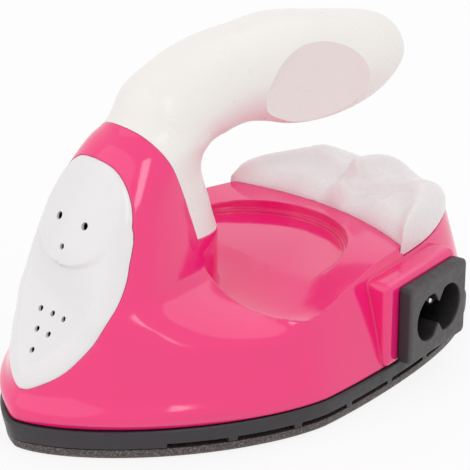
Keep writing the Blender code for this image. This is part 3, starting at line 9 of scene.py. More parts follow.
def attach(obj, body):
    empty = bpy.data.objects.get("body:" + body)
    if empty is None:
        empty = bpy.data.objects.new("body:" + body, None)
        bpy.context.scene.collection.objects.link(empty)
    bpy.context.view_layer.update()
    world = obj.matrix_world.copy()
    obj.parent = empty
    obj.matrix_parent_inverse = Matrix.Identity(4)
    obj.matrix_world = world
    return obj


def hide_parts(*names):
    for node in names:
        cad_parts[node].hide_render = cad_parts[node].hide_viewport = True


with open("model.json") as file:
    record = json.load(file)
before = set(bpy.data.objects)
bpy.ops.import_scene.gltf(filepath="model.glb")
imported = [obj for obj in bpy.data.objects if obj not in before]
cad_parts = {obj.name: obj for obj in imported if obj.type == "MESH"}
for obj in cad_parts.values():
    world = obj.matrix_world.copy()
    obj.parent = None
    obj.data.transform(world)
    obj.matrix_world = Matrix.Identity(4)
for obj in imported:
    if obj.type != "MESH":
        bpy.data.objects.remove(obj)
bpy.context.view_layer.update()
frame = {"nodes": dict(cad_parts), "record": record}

# Sizes in metres
SOLE_LENGTH = 0.1139
SOLE_WIDTH = 0.0689
OVERALL_HEIGHT = 0.0736
GAP = 0.0003
OVERCUT = 0.0200

# Sole and heat ring
SOLE_EDGE = 0.0022
SOLE_CHAMFER = 0.0013
PAD_TOP = 0.0045
PAD_CLEARANCE = 0.0012
RING_TOP = 0.0063
RING_OVERHANG = 0.0005
RING_NOSE_OVERHANG = 0.0010
RING_SHELF = 0.0100
SLOT_HEIGHT = 0.0009
SLOT_DEPTH = 0.0030
SLOT_LENGTH = 0.0120
SLOT_RIB = 0.0016
SLOT_START_Y = -0.0380
SLOT_END_Y = 0.0500

# Shell
SHELL_BASE = 0.0066
SHELL_WALL = 0.0020
NOSE_WALL = 0.0032
WAIST_Y = -0.0150
WAIST_BLEND = 0.0060
FLARE_START = 0.0200
FLARE_END = 0.0310
WALL_LEAN = 0.0050
LEAN_HEIGHT = 0.0205
LEAN_POWER = 1.2

# Deck, well and cover bed
WELL_RADIUS = 0.0213
WELL_Y = 0.0030
WELL_FRONT_Y = -0.0055
WELL_STEP_Z = 0.0254
WELL_STEP = 0.0009
WELL_FLOOR_Z = 0.0245
CLEAR_TOP_Z = 0.0420
COLUMN_CUT = 0.0003
COLUMN_CUT_LEVEL = 0.0330
BED_FRONT_Y = 0.0283
BED_CORNER_X = 0.0285
BED_CORNER_DROP = 0.0062

# Front plate
PLATE_CENTRE_Z = 0.0340
PLATE_PROUD = 0.0004
PLATE_THICKNESS = 0.0013
DOME_Z = 0.0462
DOME_WIDTH = 0.0125
DOME_HEIGHT = 0.0111
DOME_SOFTNESS = 0.0012
FACE_BOW = 0.0700
VENT_RADIUS = 0.0006
VENT_WALL = 0.0002
VENT_RISE = 0.4
VENT_PITCH_X = 0.0035
VENT_ROW_Z = 0.0254
VENT_PITCH_Z = 0.0030
LAMP_VENT_RADIUS = 0.0008
LAMP_VENT_X = 0.0038
LAMP_VENT_Z = 0.0430
LAMP_VENT_LOW_Z = 0.0385

# Handle
SCOOP_DEPTH_X = 0.0120
SCOOP_LENGTH = 0.0184
SCOOP_HEIGHT = 0.0254
SCOOP_BOTTOM_X = 0.0047
SCOOP_Y = 0.0138
SCOOP_Z = 0.0560
SCOOP_TILT = math.radians(13.4)

# Rear cover
COVER_WALL = 0.0016
COVER_EDGE = 0.0004
COVER_LEVEL = 0.0263

# Mains inlet, figure-eight two-pin
INLET_X = 0.0342
INLET_Y = 0.0254
INLET_Z = 0.01515
INLET_YAW = math.radians(11.2)
INLET_WIDTH = 0.0215
INLET_HEIGHT = 0.0165
INLET_FLANGE = 0.0029
INLET_BODY_WIDTH = 0.0186
INLET_BODY_HEIGHT = 0.0126
INLET_BODY_DEPTH = 0.0150
INLET_BEVEL = 0.0010
LOBE_RADIUS = 0.0050
LOBE_SPACING = 0.0067
NOTCH_HALF = 0.0017
NOTCH_TIP = 0.0024
SOCKET_DEPTH = 0.0126
PIN_SPACING = 0.0086
PIN_RADIUS = 0.0012
BOSS_FRONT = 0.0143
BOSS_REAR = 0.0118
BOSS_TOP = 0.0247
BOSS_DEPTH = 0.0070
BOSS_ROUND = 0.0016

# Plan outline: widest place and curve powers
WIDEST_Y_SHARE = -0.0615
SOLE_FRONT_POWERS = (1.625, 1.464)
SOLE_REAR_POWERS = (1.35, 3.434)
TOWER_REAR_POWERS = (1.35, 2.0)
ARCH_REAR_POWERS = (1.5, 2.0)
ARCH_SPLIT_SHARE = 0.7

# Height, nose place and the two curve powers of the front half
NOSE_SHARES = (
    (0.0883, -0.4990, 1.63, 1.47),
    (0.1223, -0.4964, 1.76, 1.66),
    (0.1630, -0.4840, 1.67, 1.62),
    (0.2174, -0.4783, 1.61, 1.61),
    (0.2717, -0.4631, 1.70, 1.70),
    (0.3261, -0.4409, 1.89, 1.89),
    (0.3804, -0.4229, 2.22, 2.22),
    (0.4484, -0.4004, 2.44, 2.44),
    (0.5163, -0.3845, 2.37, 2.37),
    (0.5978, -0.3720, 2.11, 2.11),
    (0.6793, -0.3500, 2.00, 2.00),
)

# Height, widest place, rear place, half width of the tower
TOWER_SHARES = (
    (0.2446, -0.2985, -0.0217, 0.2787),
    (0.2989, -0.2985, -0.0328, 0.2612),
    (0.3804, -0.2985, -0.0462, 0.2395),
    (0.4484, -0.2985, -0.0558, 0.2250),
    (0.5163, -0.2941, -0.0701, 0.2104),
    (0.5978, -0.2809, -0.0827, 0.1887),
)

# Outer point, inner point, share where the section is widest, half width
ARCH_SHARES = (
    (-0.3721, 0.5978, -0.0869, 0.5978, 0.3070, 0.1887),
    (-0.3400, 0.6803, -0.0958, 0.6455, 0.3400, 0.1727),
    (-0.2980, 0.7587, -0.0922, 0.6812, 0.4000, 0.1567),
    (-0.2560, 0.8069, -0.0791, 0.7042, 0.4500, 0.1466),
    (-0.2252, 0.8909, -0.0613, 0.7091, 0.4800, 0.1422),
    (-0.1688, 0.9415, -0.0451, 0.7113, 0.5000, 0.1408),
    (-0.1094, 0.9746, -0.0274, 0.7165, 0.5000, 0.1408),
    (-0.0496, 0.9915, -0.0044, 0.7206, 0.5000, 0.1422),
    (0.0176, 0.9981, 0.0230, 0.7194, 0.5000, 0.1451),
    (0.0837, 1.0056, 0.0699, 0.7024, 0.5000, 0.1509),
    (0.1397, 0.9962, 0.1137, 0.6805, 0.5000, 0.1553),
    (0.1896, 0.9808, 0.1624, 0.6680, 0.5000, 0.1553),
    (0.2406, 0.9664, 0.2152, 0.6646, 0.5000, 0.1509),
    (0.2901, 0.9516, 0.2680, 0.6725, 0.5000, 0.1437),
    (0.3347, 0.9354, 0.3187, 0.6921, 0.5000, 0.1292),
    (0.3684, 0.9120, 0.3593, 0.7276, 0.5000, 0.1060),
    (0.3880, 0.8692, 0.3848, 0.7773, 0.5000, 0.0668),
    (0.3974, 0.8367, 0.3964, 0.8117, 0.5000, 0.0232),
)

# Side view of the joint between tower and handle, nose to stem foot
SPLIT_SHARES = (
    (-0.5268, 0.8342), (-0.2897, 0.8207), (-0.2651, 0.8139), (-0.2502, 0.7962),
    (-0.2379, 0.7636), (-0.2248, 0.7201), (-0.2107, 0.6753), (-0.1975, 0.6277),
    (-0.1879, 0.5856), (-0.1791, 0.5435), (-0.1721, 0.5027), (-0.1705, 0.4960),
)
FOOT_SHARES = (-0.0440, 0.4590)

# Plan of the wall between deck and tower, side place and length place
SHOULDER_SHARES = (
    (0.2830, -0.1600), (0.3480, -0.1510), (0.4060, -0.1273), (0.4500, -0.0966),
    (0.4935, -0.0527), (0.5810, 0.0000),
)

# Side view of the deck and of the bed below the rear cover
DECK_SHARES = (
    (-0.1932, 0.3043), (-0.1229, 0.3030), (-0.0790, 0.3043), (-0.0439, 0.3111),
    (0.0000, 0.3261), (0.0439, 0.3438), (0.0878, 0.3587), (0.1317, 0.3682),
    (0.1844, 0.3709), (0.2634, 0.3709), (0.5619, 0.3709),
)
BED_SHARES = (
    (0.1405, 0.3438), (0.2107, 0.3424), (0.2809, 0.3424), (0.3336, 0.3492),
    (0.3775, 0.3587), (0.4214, 0.3655), (0.5619, 0.3668),
)

# Height and half width of the front plate
PLATE_SHARES = (
    (0.1671, 0.0000), (0.1739, 0.0319), (0.2065, 0.0900), (0.2310, 0.1205),
    (0.2582, 0.1422), (0.2989, 0.1669), (0.3383, 0.1829), (0.3804, 0.1959),
    (0.4253, 0.2017), (0.4688, 0.2017), (0.5095, 0.1959), (0.5503, 0.1887),
    (0.5910, 0.1771), (0.6495, 0.1538), (0.6943, 0.1205), (0.7228, 0.0813),
    (0.7351, 0.0406), (0.7385, 0.0000),
)

# Sunken middle of the front plate: height, half width, depth place on the mirror plane
VALLEY_SHARES = (
    (0.2230, 0.0050, -0.4790),
    (0.2473, 0.0435, -0.4627),
    (0.2663, 0.0682, -0.4513),
    (0.2894, 0.0914, -0.4381),
    (0.3179, 0.1161, -0.4214),
    (0.3465, 0.1321, -0.4065),
    (0.3750, 0.1451, -0.3951),
    (0.4103, 0.1509, -0.3881),
    (0.4443, 0.1524, -0.3854),
    (0.5163, 0.1538, -0.3770),
    (0.6000, 0.1538, -0.3560),
)

# Side view of the round dome on the front plate
FACE_SHARES = (
    (0.4783, -0.3951), (0.5231, -0.3828), (0.5842, -0.3617), (0.6522, -0.3371),
    (0.7337, -0.3100),
)

# Rear cover: side share from the middle, height of its crest, place of the crest
CREST_SHARES = (
    (-0.07, 0.4650, 0.32), (0.00, 0.4970, 0.30), (0.07, 0.4650, 0.32), (0.13, 0.4360, 0.39),
    (0.20, 0.4400, 0.47), (0.27, 0.4500, 0.52), (0.34, 0.4600, 0.57), (0.42, 0.4710, 0.62),
    (0.52, 0.4614, 0.66), (0.66, 0.4520, 0.68), (0.80, 0.4438, 0.68), (0.92, 0.4249, 0.66),
    (1.00, 0.3860, 0.63),
)

# Rear cover: share of the way from front edge to crest, share of the rise
RISE_SHARES = (
    (0.00, 0.00), (0.06, 0.22), (0.18, 0.42), (0.32, 0.53),
    (0.46, 0.55), (0.60, 0.60), (0.76, 0.75), (0.90, 0.93),
    (1.00, 1.00),
)

# Level sections: lowest and highest share of the height, count
SHELL_LEVELS = (0.0897, 0.4185, 38)
TOWER_LEVELS = (0.4260, 0.5430, 8)
STEM_LEVELS = (0.4400, 0.5600, 9)
CAVITY_LEVELS = (0.0700, 0.4185, 12)
CAVITY_TOWER_LEVELS = (0.4260, 0.4890, 0.5430)

# Sections along the arch, counted in rows of its table
CAVITY_STATIONS = (0.0, 1.0, 1.8)
SHELL_LAST_STATION = 4.0
STATION_STEP = 0.2

# Places of the rings across the seat of the front plate
PLATE_SEAT_SHARES = (0.05, 0.40, 0.70, 0.88, 1.00)
DECK_SIDE_SHARES = (
    0.00, 0.05, 0.10, 0.15, 0.19, 0.22, 0.25, 0.28, 0.31, 0.35, 0.40, 0.48, 0.56, 0.66, 0.76,
    0.88, 1.00,
)

# Steps of the outlines before they are evened out, and of the searches
OUTLINE_STEPS = 160
SEARCH_STEPS = 30
SEARCH_END_ROW = 6.0
SPLIT_STEPS = 3
PLATE_STEPS = 4


def smooth(share):
    share = min(1.0, max(0.0, share))
    return share * share * (3.0 - 2.0 * share)


def past(share, bend):
    # Smooth step that begins at a share and is over after a length
    begin, length = bend
    return smooth((share - begin) / length)


def spread(low, high, count):
    return [low + (high - low) * i / (count - 1) for i in range(count)]


def interpolate(rows, key):
    # Smooth curve through the rows of a table, read at its first column
    if key <= rows[0][0]:
        return rows[0][1:]
    if key >= rows[-1][0]:
        return rows[-1][1:]
    last = len(rows) - 1
    i = max(n for n in range(last) if rows[n][0] <= key)
    span = rows[i + 1][0] - rows[i][0]
    t = (key - rows[i][0]) / span
    before = rows[max(i - 1, 0)]
    after = rows[min(i + 2, last)]
    values = []
    for a, b, c, d in zip(before[1:], rows[i][1:], rows[i + 1][1:], after[1:]):
        slope_b = (c - a) / (rows[i + 1][0] - before[0]) * span
        slope_c = (d - b) / (after[0] - rows[i][0]) * span
        h = t * t * (3.0 - 2.0 * t)
        tangents = slope_b * t * (1.0 - t) ** 2 - slope_c * t * t * (1.0 - t)
        values.append(b + (c - b) * h + tangents)
    return values


def smooth_path(points, steps):
    path = []
    rows = [(float(i), *point) for i, point in enumerate(points)]
    for i in range(len(points) - 1):
        for k in range(steps):
            path.append(tuple(interpolate(rows, i + k / steps)))
    path.append(tuple(points[-1]))
    return path


def resample(points, count):
    # Evenly spaced points along an open line
    lengths = [0.0]
    for a, b in zip(points, points[1:]):
        lengths.append(lengths[-1] + math.dist(a, b))
    result = []
    k = 0
    for i in range(count):
        target = lengths[-1] * i / (count - 1)
        while k < len(points) - 2 and lengths[k + 1] < target:
            k += 1
        span = lengths[k + 1] - lengths[k]
        t = (target - lengths[k]) / span if span else 0.0
        result.append(tuple(a + (b - a) * t for a, b in zip(points[k], points[k + 1])))
    return result


def curve_share(t, powers):
    t = min(1.0, max(0.0, t))
    return (1.0 - t ** powers[0]) ** (1.0 / powers[1])


def sole_half_width(y, grow=0.0, nose_grow=None):
    middle = WIDEST_Y_SHARE * SOLE_LENGTH
    nose = -SOLE_LENGTH / 2 - (grow if nose_grow is None else nose_grow)
    heel = SOLE_LENGTH / 2 + grow
    half = SOLE_WIDTH / 2 + grow
    if y < middle:
        return half * curve_share((middle - y) / (middle - nose), SOLE_FRONT_POWERS)
    return half * curve_share((y - middle) / (heel - middle), SOLE_REAR_POWERS)


def front_powers(z):
    return interpolate(NOSE_SHARES, z / OVERALL_HEIGHT)[1:]


def nose_y(z):
    return interpolate(NOSE_SHARES, z / OVERALL_HEIGHT)[0] * SOLE_LENGTH


def wall_inset(z):
    return WALL_LEAN * max(0.0, (z - SHELL_BASE) / LEAN_HEIGHT) ** LEAN_POWER


def nose_grow(grow):
    return grow * NOSE_WALL / SHELL_WALL


def level_half_width(y, z, grow, middle, rear, half, powers):
    # Half width of a level section between the nose and its rear end
    half = half + grow
    if y < middle:
        nose = nose_y(z) - nose_grow(grow)
        return half * curve_share((middle - y) / (middle - nose), front_powers(z))
    return half * curve_share((y - middle) / (rear + grow - middle), powers)


def wall_half_width(y, z, grow):
    middle = WIDEST_Y_SHARE * SOLE_LENGTH
    inset = wall_inset(z)
    sizes = (SOLE_LENGTH / 2 - inset, SOLE_WIDTH / 2 - inset)
    return level_half_width(y, z, grow, middle, *sizes, SOLE_REAR_POWERS)


def tower_row(z):
    middle, rear, half = interpolate(TOWER_SHARES, z / OVERALL_HEIGHT)
    return middle * SOLE_LENGTH, rear * SOLE_LENGTH, half * SOLE_WIDTH


def tower_half_width(y, z, grow):
    return level_half_width(y, z, grow, *tower_row(z), TOWER_REAR_POWERS)


def flare(z):
    return 1.0 - smooth((z - FLARE_START) / (FLARE_END - FLARE_START))


def shell_half_width(y, z, grow=0.0):
    wall = wall_half_width(y, z, grow)
    tower = tower_half_width(y, z, grow)
    bell = tower + (wall - tower) * flare(z)
    behind = smooth((y - WAIST_Y) / WAIST_BLEND)
    return bell + (wall - bell) * behind


def mirror_half(half):
    # Closed ring from the half on the +X side, first and last point on the mirror plane
    other = [(-x, y, z) for x, y, z in reversed(half[1:-1])]
    return [Vector(point) for point in half + other]


def dense_outline(first, middle, last, width):
    # Half widths and places in two parts, closed on the mirror plane at both ends
    front = []
    rear = []
    for i in range(OUTLINE_STEPS + 1):
        angle = math.pi / 2 * i / OUTLINE_STEPS
        spot = middle + (first - middle) * math.cos(angle)
        front.append((width(spot) if i else 0.0, spot))
        spot = middle + (last - middle) * math.sin(angle)
        rear.append((width(spot) if i < OUTLINE_STEPS else 0.0, spot))
    return front, rear


def full_level(z, grow, front_count, rear_count):
    nose = nose_y(z) - nose_grow(grow)
    heel = SOLE_LENGTH / 2 - wall_inset(z) + grow
    front, rear = dense_outline(nose, WAIST_Y, heel, lambda y: shell_half_width(y, z, grow))
    half = resample(front, front_count) + resample(rear, rear_count)[1:]
    return mirror_half([(x, y, z) for x, y in half])


def section_ring(outer, inner, widest, half, powers, counts, split):
    # Section of the tower or handle, share 0 at the outer point
    def width(share):
        if share < widest:
            return half * curve_share((widest - share) / widest, front_powers(outer[1]))
        return half * curve_share((share - widest) / (1.0 - widest), powers)

    reach = math.dist(outer, inner)
    front, rear = (
        resample([(x, t * reach) for x, t in part], count)
        for part, count in zip(dense_outline(0.0, split, 1.0, width), counts)
    )
    points = []
    for x, t in front + rear[1:]:
        share = t / reach
        y = outer[0] + (inner[0] - outer[0]) * share
        z = outer[1] + (inner[1] - outer[1]) * share
        points.append((x, y, z))
    return mirror_half(points)


def tower_ring(z, grow, counts):
    middle, rear, half = tower_row(z)
    nose = nose_y(z) - nose_grow(grow)
    rear = rear + grow
    widest = (middle - nose) / (rear - nose)
    split = (WAIST_Y - nose) / (rear - nose)
    ends = ((nose, z), (rear, z))
    return section_ring(*ends, widest, half + grow, TOWER_REAR_POWERS, counts, split)


def arch_row(station):
    rows = [(float(i), *row) for i, row in enumerate(ARCH_SHARES)]
    y0, z0, y1, z1, widest, half = interpolate(rows, station)
    outer = (y0 * SOLE_LENGTH, z0 * OVERALL_HEIGHT)
    inner = (y1 * SOLE_LENGTH, z1 * OVERALL_HEIGHT)
    return outer, inner, widest, half * SOLE_WIDTH


def arch_ring(station, grow, counts):
    outer, inner, widest, half = arch_row(station)
    reach = math.dist(outer, inner)
    step = tuple((b - a) / reach * grow for a, b in zip(outer, inner))
    outer = tuple(a - s * NOSE_WALL / SHELL_WALL for a, s in zip(outer, step))
    inner = tuple(b + s for b, s in zip(inner, step))
    ends = (outer, inner)
    return section_ring(*ends, widest, half + grow, ARCH_REAR_POWERS, counts, ARCH_SPLIT_SHARE)


def surface_y(x, z):
    # Place of the nose surface at a side distance and a height
    x = abs(x)
    if z <= ARCH_SHARES[0][1] * OVERALL_HEIGHT:
        low = nose_y(z)
        high = tower_row(z)[0]
        for _ in range(SEARCH_STEPS):
            y = (low + high) / 2
            if shell_half_width(y, z) < x:
                low = y
            else:
                high = y
        return high
    low = 0.0
    high = SEARCH_END_ROW
    for _ in range(SEARCH_STEPS):
        station = (low + high) / 2
        outer, inner, widest, half = arch_row(station)
        p, q = front_powers(outer[1])
        share = widest - widest * (1.0 - min(1.0, x / half) ** q) ** (1.0 / p)
        if outer[1] + (inner[1] - outer[1]) * share < z:
            low = station
        else:
            high = station
    return outer[0] + (inner[0] - outer[0]) * share


def split_path():
    rows = [(y * SOLE_LENGTH, z * OVERALL_HEIGHT) for y, z in SPLIT_SHARES]
    return smooth_path(rows, SPLIT_STEPS)


def deck_z(y):
    return interpolate(DECK_SHARES, y / SOLE_LENGTH)[0] * OVERALL_HEIGHT


def bed_z(y):
    return interpolate(BED_SHARES, y / SOLE_LENGTH)[0] * OVERALL_HEIGHT


def bed_front_y(x):
    return BED_FRONT_Y - BED_CORNER_DROP * (x / BED_CORNER_X) ** 2


def deck_front_y(x):
    # Plan of the wall behind the tower, wrapped round the column under the handle
    x = abs(x)
    middle, rear, half = tower_row(COLUMN_CUT_LEVEL)
    inside = min(1.0, x / half)
    share = (1.0 - inside ** TOWER_REAR_POWERS[1]) ** (1.0 / TOWER_REAR_POWERS[0])
    column = middle + (rear - middle) * share - COLUMN_CUT
    shoulder = interpolate(SHOULDER_SHARES, x / SOLE_WIDTH)[0] * SOLE_LENGTH
    return max(column, shoulder)


# Colours, all in linear values
INLET_BLACK = (0.062, 0.055, 0.060)
# Painted shade: near black for the bottom of the inlet socket
SOCKET_SHADE_BLACK = (0.002, 0.002, 0.002)
SOLE_DARK = (0.10, 0.082, 0.078)

# Moulded plastics: slot, name, colour, roughness, share by which the colour varies
MOULDED_FINISHES = (
    ("shell_pink", "pink_plastic", (0.88, 0.010, 0.180), 0.10, 0.02),
    ("handle_white", "handle_plastic", (0.86, 0.83, 0.80), 0.30, 0.01),
    ("plate_white", "plate_plastic", (0.81, 0.785, 0.795), 0.22, 0.008),
    ("cover_white", "cover_plastic", (0.82, 0.765, 0.775), 0.26, 0.01),
)
CLOUD_NOISE = (60.0, 4.0)
GLOSS_NOISE = (180.0, 5.0)
GLOSS_SHARES = (0.85, 1.2)
NOISE_REACH = (0.3, 0.7)
PINK_GLOSS = 0.85
COVER_DEPTH = (("Weight", 0.12), ("Radius", (0.004, 0.002, 0.0018)), ("Scale", 1.0))

# Other finishes: slot, name, colour, roughness, and the metallic share where there is one
OTHER_FINISHES = (
    ("ring_black", "ring_plastic", (0.025, 0.021, 0.025), 0.42),
    ("inlet_black", "inlet_plastic", INLET_BLACK, 0.45),
    ("sole_metal", "sole_coating", SOLE_DARK, 0.42, 0.35),
    ("bright_metal", "nickel", (0.72, 0.71, 0.68), 0.2, 1.0),
    ("strap_steel", "pressed_steel", (0.52, 0.52, 0.51), 0.35, 1.0),
    ("ceramic_grey", "ceramic", (0.55, 0.53, 0.48), 0.7),
    ("sheet_amber", "amber_film", (0.6, 0.3, 0.06), 0.35),
    ("board_green", "board", (0.04, 0.2, 0.08), 0.5),
    ("lamp_red", "lamp", (0.75, 0.04, 0.03), 0.12),
    ("fuse_sleeve", "sleeve", (0.75, 0.72, 0.65), 0.6),
    ("wire_brown", "brown_insulation", (0.22, 0.08, 0.03), 0.5),
    ("wire_blue", "blue_insulation", (0.05, 0.12, 0.45), 0.5),
)

# Uneven roughness: slot, noise, range
UNEVEN_GLOSS = (
    ("ring_black", (500.0, 5.0), (0.34, 0.52)),
    ("inlet_black", (700.0, 5.0), (0.38, 0.58)),
    ("sole_metal", (900.0, 4.0), (0.32, 0.55)),
    ("bright_metal", (900.0, 4.0), (0.14, 0.32)),
    ("strap_steel", (400.0, 4.0, 0.5, (1.0, 12.0, 1.0)), (0.28, 0.5)),
    ("board_green", (800.0, 3.0), (0.4, 0.6)),
    ("lamp_red", (600.0, 3.0), (0.08, 0.2)),
    ("wire_brown", (700.0, 3.0), (0.42, 0.6)),
    ("wire_blue", (700.0, 3.0), (0.42, 0.6)),
)

# Radius of softened edges
SOFT_EDGES = (
    ("shell_pink", 0.0005),
    ("ring_black", 0.0003),
    ("inlet_black", 0.0004),
    ("sole_metal", 0.0003),
)

# Grain: slot, noise, height
SPECK_NOISE = (2600.0, 2.0, 0.7)
GRAINS = (
    ("shell_pink", (140.0, 2.0), 0.00002),
    ("ring_black", (1800.0, 3.0), 0.00004),
    ("inlet_black", (1500.0, 5.0, 0.65), 0.00010),
    ("sole_metal", SPECK_NOISE, 0.00012),
    ("ceramic_grey", (2500.0, 4.0), 0.00008),
    ("sheet_amber", (300.0, 2.0), 0.0001),
    ("fuse_sleeve", (1500.0, 2.0, 0.5, (1.0, 0.3, 1.0)), 0.0002),
)

# Colour stops: place, colour, share of its brightness
# Painted shade: the inlet's black darkens with depth into its socket, to near black at the bottom
SOCKET_SHADE_STOPS = (
    (0.10, SOCKET_SHADE_BLACK, 1.0),
    (0.42, INLET_BLACK, 0.25),
    (0.90, INLET_BLACK, 0.4),
    (0.96, INLET_BLACK, 1.0),
)
SPECK_STOPS = (
    (0.40, SOLE_DARK, 0.55),
    (0.52, SOLE_DARK, 1.0),
    (0.64, SOLE_DARK, 1.7),
    (0.72, SOLE_DARK, 3.2),
)

# Camera and light: lengths in metres, energy in watts
CAMERA_AZIMUTH = math.radians(47.606)
CAMERA_RISE = math.radians(22.5)
CAMERA_PLACE = (0.279454, -0.254712, 0.185303)
CAMERA_SENSOR = 36.0
CAMERA_LENS = 2000.0 / 470.0 * CAMERA_SENSOR
CAMERA_CLIP = (0.01, 20.0)
FLOOR_SIZE = 3.0
FLOOR_DROP = 0.0001
FLOOR_COLOUR = (0.9, 0.9, 0.9)
FLOOR_ROUGHNESS = 0.6
FLOOR_GLOW_SHARE = 0.86
WORLD_GLOW_SHARE = 1.0
WORLD_STRENGTH = 0.76
WHITE = (1.0, 1.0, 1.0, 1.0)
LIGHT_TARGET = (0.0, 0.0, 0.03)
LIGHTS = (
    ("key", (-0.15, -0.75, 0.55), (1.4, 1.2), 2.2),
    ("fill", (0.627, -0.228, 0.62), (0.20, 0.46), 0.8),
    ("top", (0.1, 0.5, 0.8), (0.9, 0.7), 1.1),
)

# Mesh counts
SHELL_POINTS = (52, 44)
CAVITY_POINTS = (18, 18)
HANDLE_POINTS = (40, 40)
SOLE_POINTS = 130
HIDDEN_POINTS = 60
PLATE_POINTS = 128
COVER_RINGS = 141
RISE_POINTS = 30
FALL_POINTS = 17
HEEL_POINTS = 401
HEEL_COUNTS = (80, 200)
WELL_STEPS = 84
CAVITY_WELL_STEPS = 40
SCOOP_SEGMENTS = (112, 64)
LOBE_STEPS = 48
CORNER_STEPS = 8
BODY_CORNER_STEPS = 3
FLANGE_RINGS = 6
BOSS_SEGMENTS = 6
HOLE_SEGMENTS = 24

# Finish of the visible pieces
SHARP_ANGLE = math.radians(30.0)
WELD_REACH = GAP / 100
SEAM = 0.00003
BEVEL_SAMPLES = 6

# Front plate, its holes and the rings across it: first and last share of the outline, count
VENT_ROWS = 3
VENT_BACK_SHARE = 2.4
PLATE_OPENING_SHARE = 0.82
PLATE_DOME_SHARE = 0.8
PLATE_FRONT_RINGS = (0.03, 0.95, 28)
PLATE_BACK_RINGS = (0.92, 0.05, 16)

# Rings at the edge of the plate: share of the outline, share of its height, follows the dome
PLATE_EDGE_SHARES = ((0.975, -0.8, True), (0.99, -0.3, False), (1.0, 0.6, False))

# Deck: least share, growth and shrinkage of its front fillet, and where it grows and shrinks
FILLET_SHARES = (0.25, 0.75, 0.6)
BESIDE_SHARES = (0.15, 0.2)
BEYOND_SHARES = (0.55, 0.3)
FILLET_POINTS = 6
DECK_POINTS = 12
BED_COLUMNS = 8
BED_POINTS = 9
SLOT_POINTS = 4

# Inside of the shell: how far its well and its joint stand off, as shares of the wall
CAVITY_WELL_SHARE = 0.9
CAVITY_SPLIT_SHARE = 0.8

# Rear cover: where its rise, its fall and its hollow change toward the two ends
COVER_REACH = 0.995
RISE_END_SHARES = (0.5, 0.4)
FALL_END_SHARES = (0.45, 0.45)
HOLLOW_END_SHARES = (0.72, 0.2)
FALL_POWER = 1.8
COVER_WALL_SHARE = 0.45

# Sole edge, height and growth as shares of its chamfer; ring bulge; edge of the inlet flange
SOLE_EDGE_SHARES = ((0.0, -1.0), (0.12, -0.6), (0.35, -0.25), (0.8, 0.0))
RING_BULGE_SHARE = 0.45
RING_NOSE_BULGE_SHARE = 0.7
FLANGE_EDGE_SHARE = 0.7

# Meshes that aren't shown
cutters = []


def add_object(name, data):
    obj = bpy.data.objects.new(name, data)
    bpy.context.scene.collection.objects.link(obj)
    return obj


def finish_mesh(name, bm):
    bmesh.ops.recalc_face_normals(bm, faces=bm.faces)
    mesh = bpy.data.meshes.new(name)
    bm.to_mesh(mesh)
    bm.free()
    obj = add_object(name, mesh)
    obj.hide_render = True
    cutters.append(obj)
    return obj


def loft(name, rings):
    bm = bmesh.new()
    loops = [[bm.verts.new(point) for point in ring] for ring in rings]
    count = len(loops[0])
    for a, b in zip(loops, loops[1:]):
        for i in range(count):
            j = (i + 1) % count
            bm.faces.new((a[i], a[j], b[j], b[i]))
    bm.faces.new(loops[0])
    bm.faces.new(loops[-1])
    return finish_mesh(name, bm)


def place(bm, matrix):
    bmesh.ops.transform(bm, matrix=matrix, verts=bm.verts)


def box(name, size, centre, bevel=0.0):
    # Box turned like the inlet
    bm = bmesh.new()
    bmesh.ops.create_cube(bm, size=1.0)
    place(bm, Matrix.Diagonal((*size, 1.0)))
    if bevel:
        bmesh.ops.bevel(
            bm, geom=bm.edges, offset=bevel, segments=BOSS_SEGMENTS, profile=0.5, affect="EDGES"
        )
    place(bm, inlet_turn())
    place(bm, Matrix.Translation(centre))
    return finish_mesh(name, bm)


def rod(name, radius, start, end):
    way = end - start
    bm = bmesh.new()
    bmesh.ops.create_cone(
        bm, cap_ends=True, segments=HOLE_SEGMENTS, radius1=radius, radius2=radius, depth=way.length
    )
    turn = way.to_track_quat("Z", "Y").to_matrix().to_4x4()
    place(bm, Matrix.Translation((start + end) / 2) @ turn)
    return finish_mesh(name, bm)


def prism(name, outline, low, high, axis):
    # Outline carried along an axis, 0 to 2 for X to Z
    rings = [[(*p[:axis], level, *p[axis:]) for p in outline] for level in (low, high)]
    return loft(name, rings)


def combine(target, other, operation):
    modifier = target.modifiers.new(operation.lower(), "BOOLEAN")
    modifier.operation = operation
    modifier.solver = "EXACT"
    modifier.object = other


def cut(target, other):
    combine(target, other, "DIFFERENCE")


def join(target, other):
    combine(target, other, "UNION")


def show(obj, materials, slot, node):
    # Modifiers become mesh, and the piece stands for its solid
    graph = bpy.context.evaluated_depsgraph_get()
    mesh = bpy.data.meshes.new_from_object(obj.evaluated_get(graph))
    obj.modifiers.clear()
    obj.data = mesh
    bm = bmesh.new()
    bm.from_mesh(mesh)
    bmesh.ops.remove_doubles(bm, verts=bm.verts, dist=WELD_REACH)
    bmesh.ops.dissolve_degenerate(bm, dist=WELD_REACH, edges=bm.edges)
    bm.to_mesh(mesh)
    bm.free()
    mesh.polygons.foreach_set("use_smooth", [True] * len(mesh.polygons))
    mesh.set_sharp_from_angle(angle=SHARP_ANGLE)
    mesh.materials.clear()
    mesh.materials.append(materials[slot])
    obj.name = node + "_shape"
    obj.hide_render = False
    cutters.remove(obj)
    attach(obj, "root")
    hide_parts(node)


# Materials


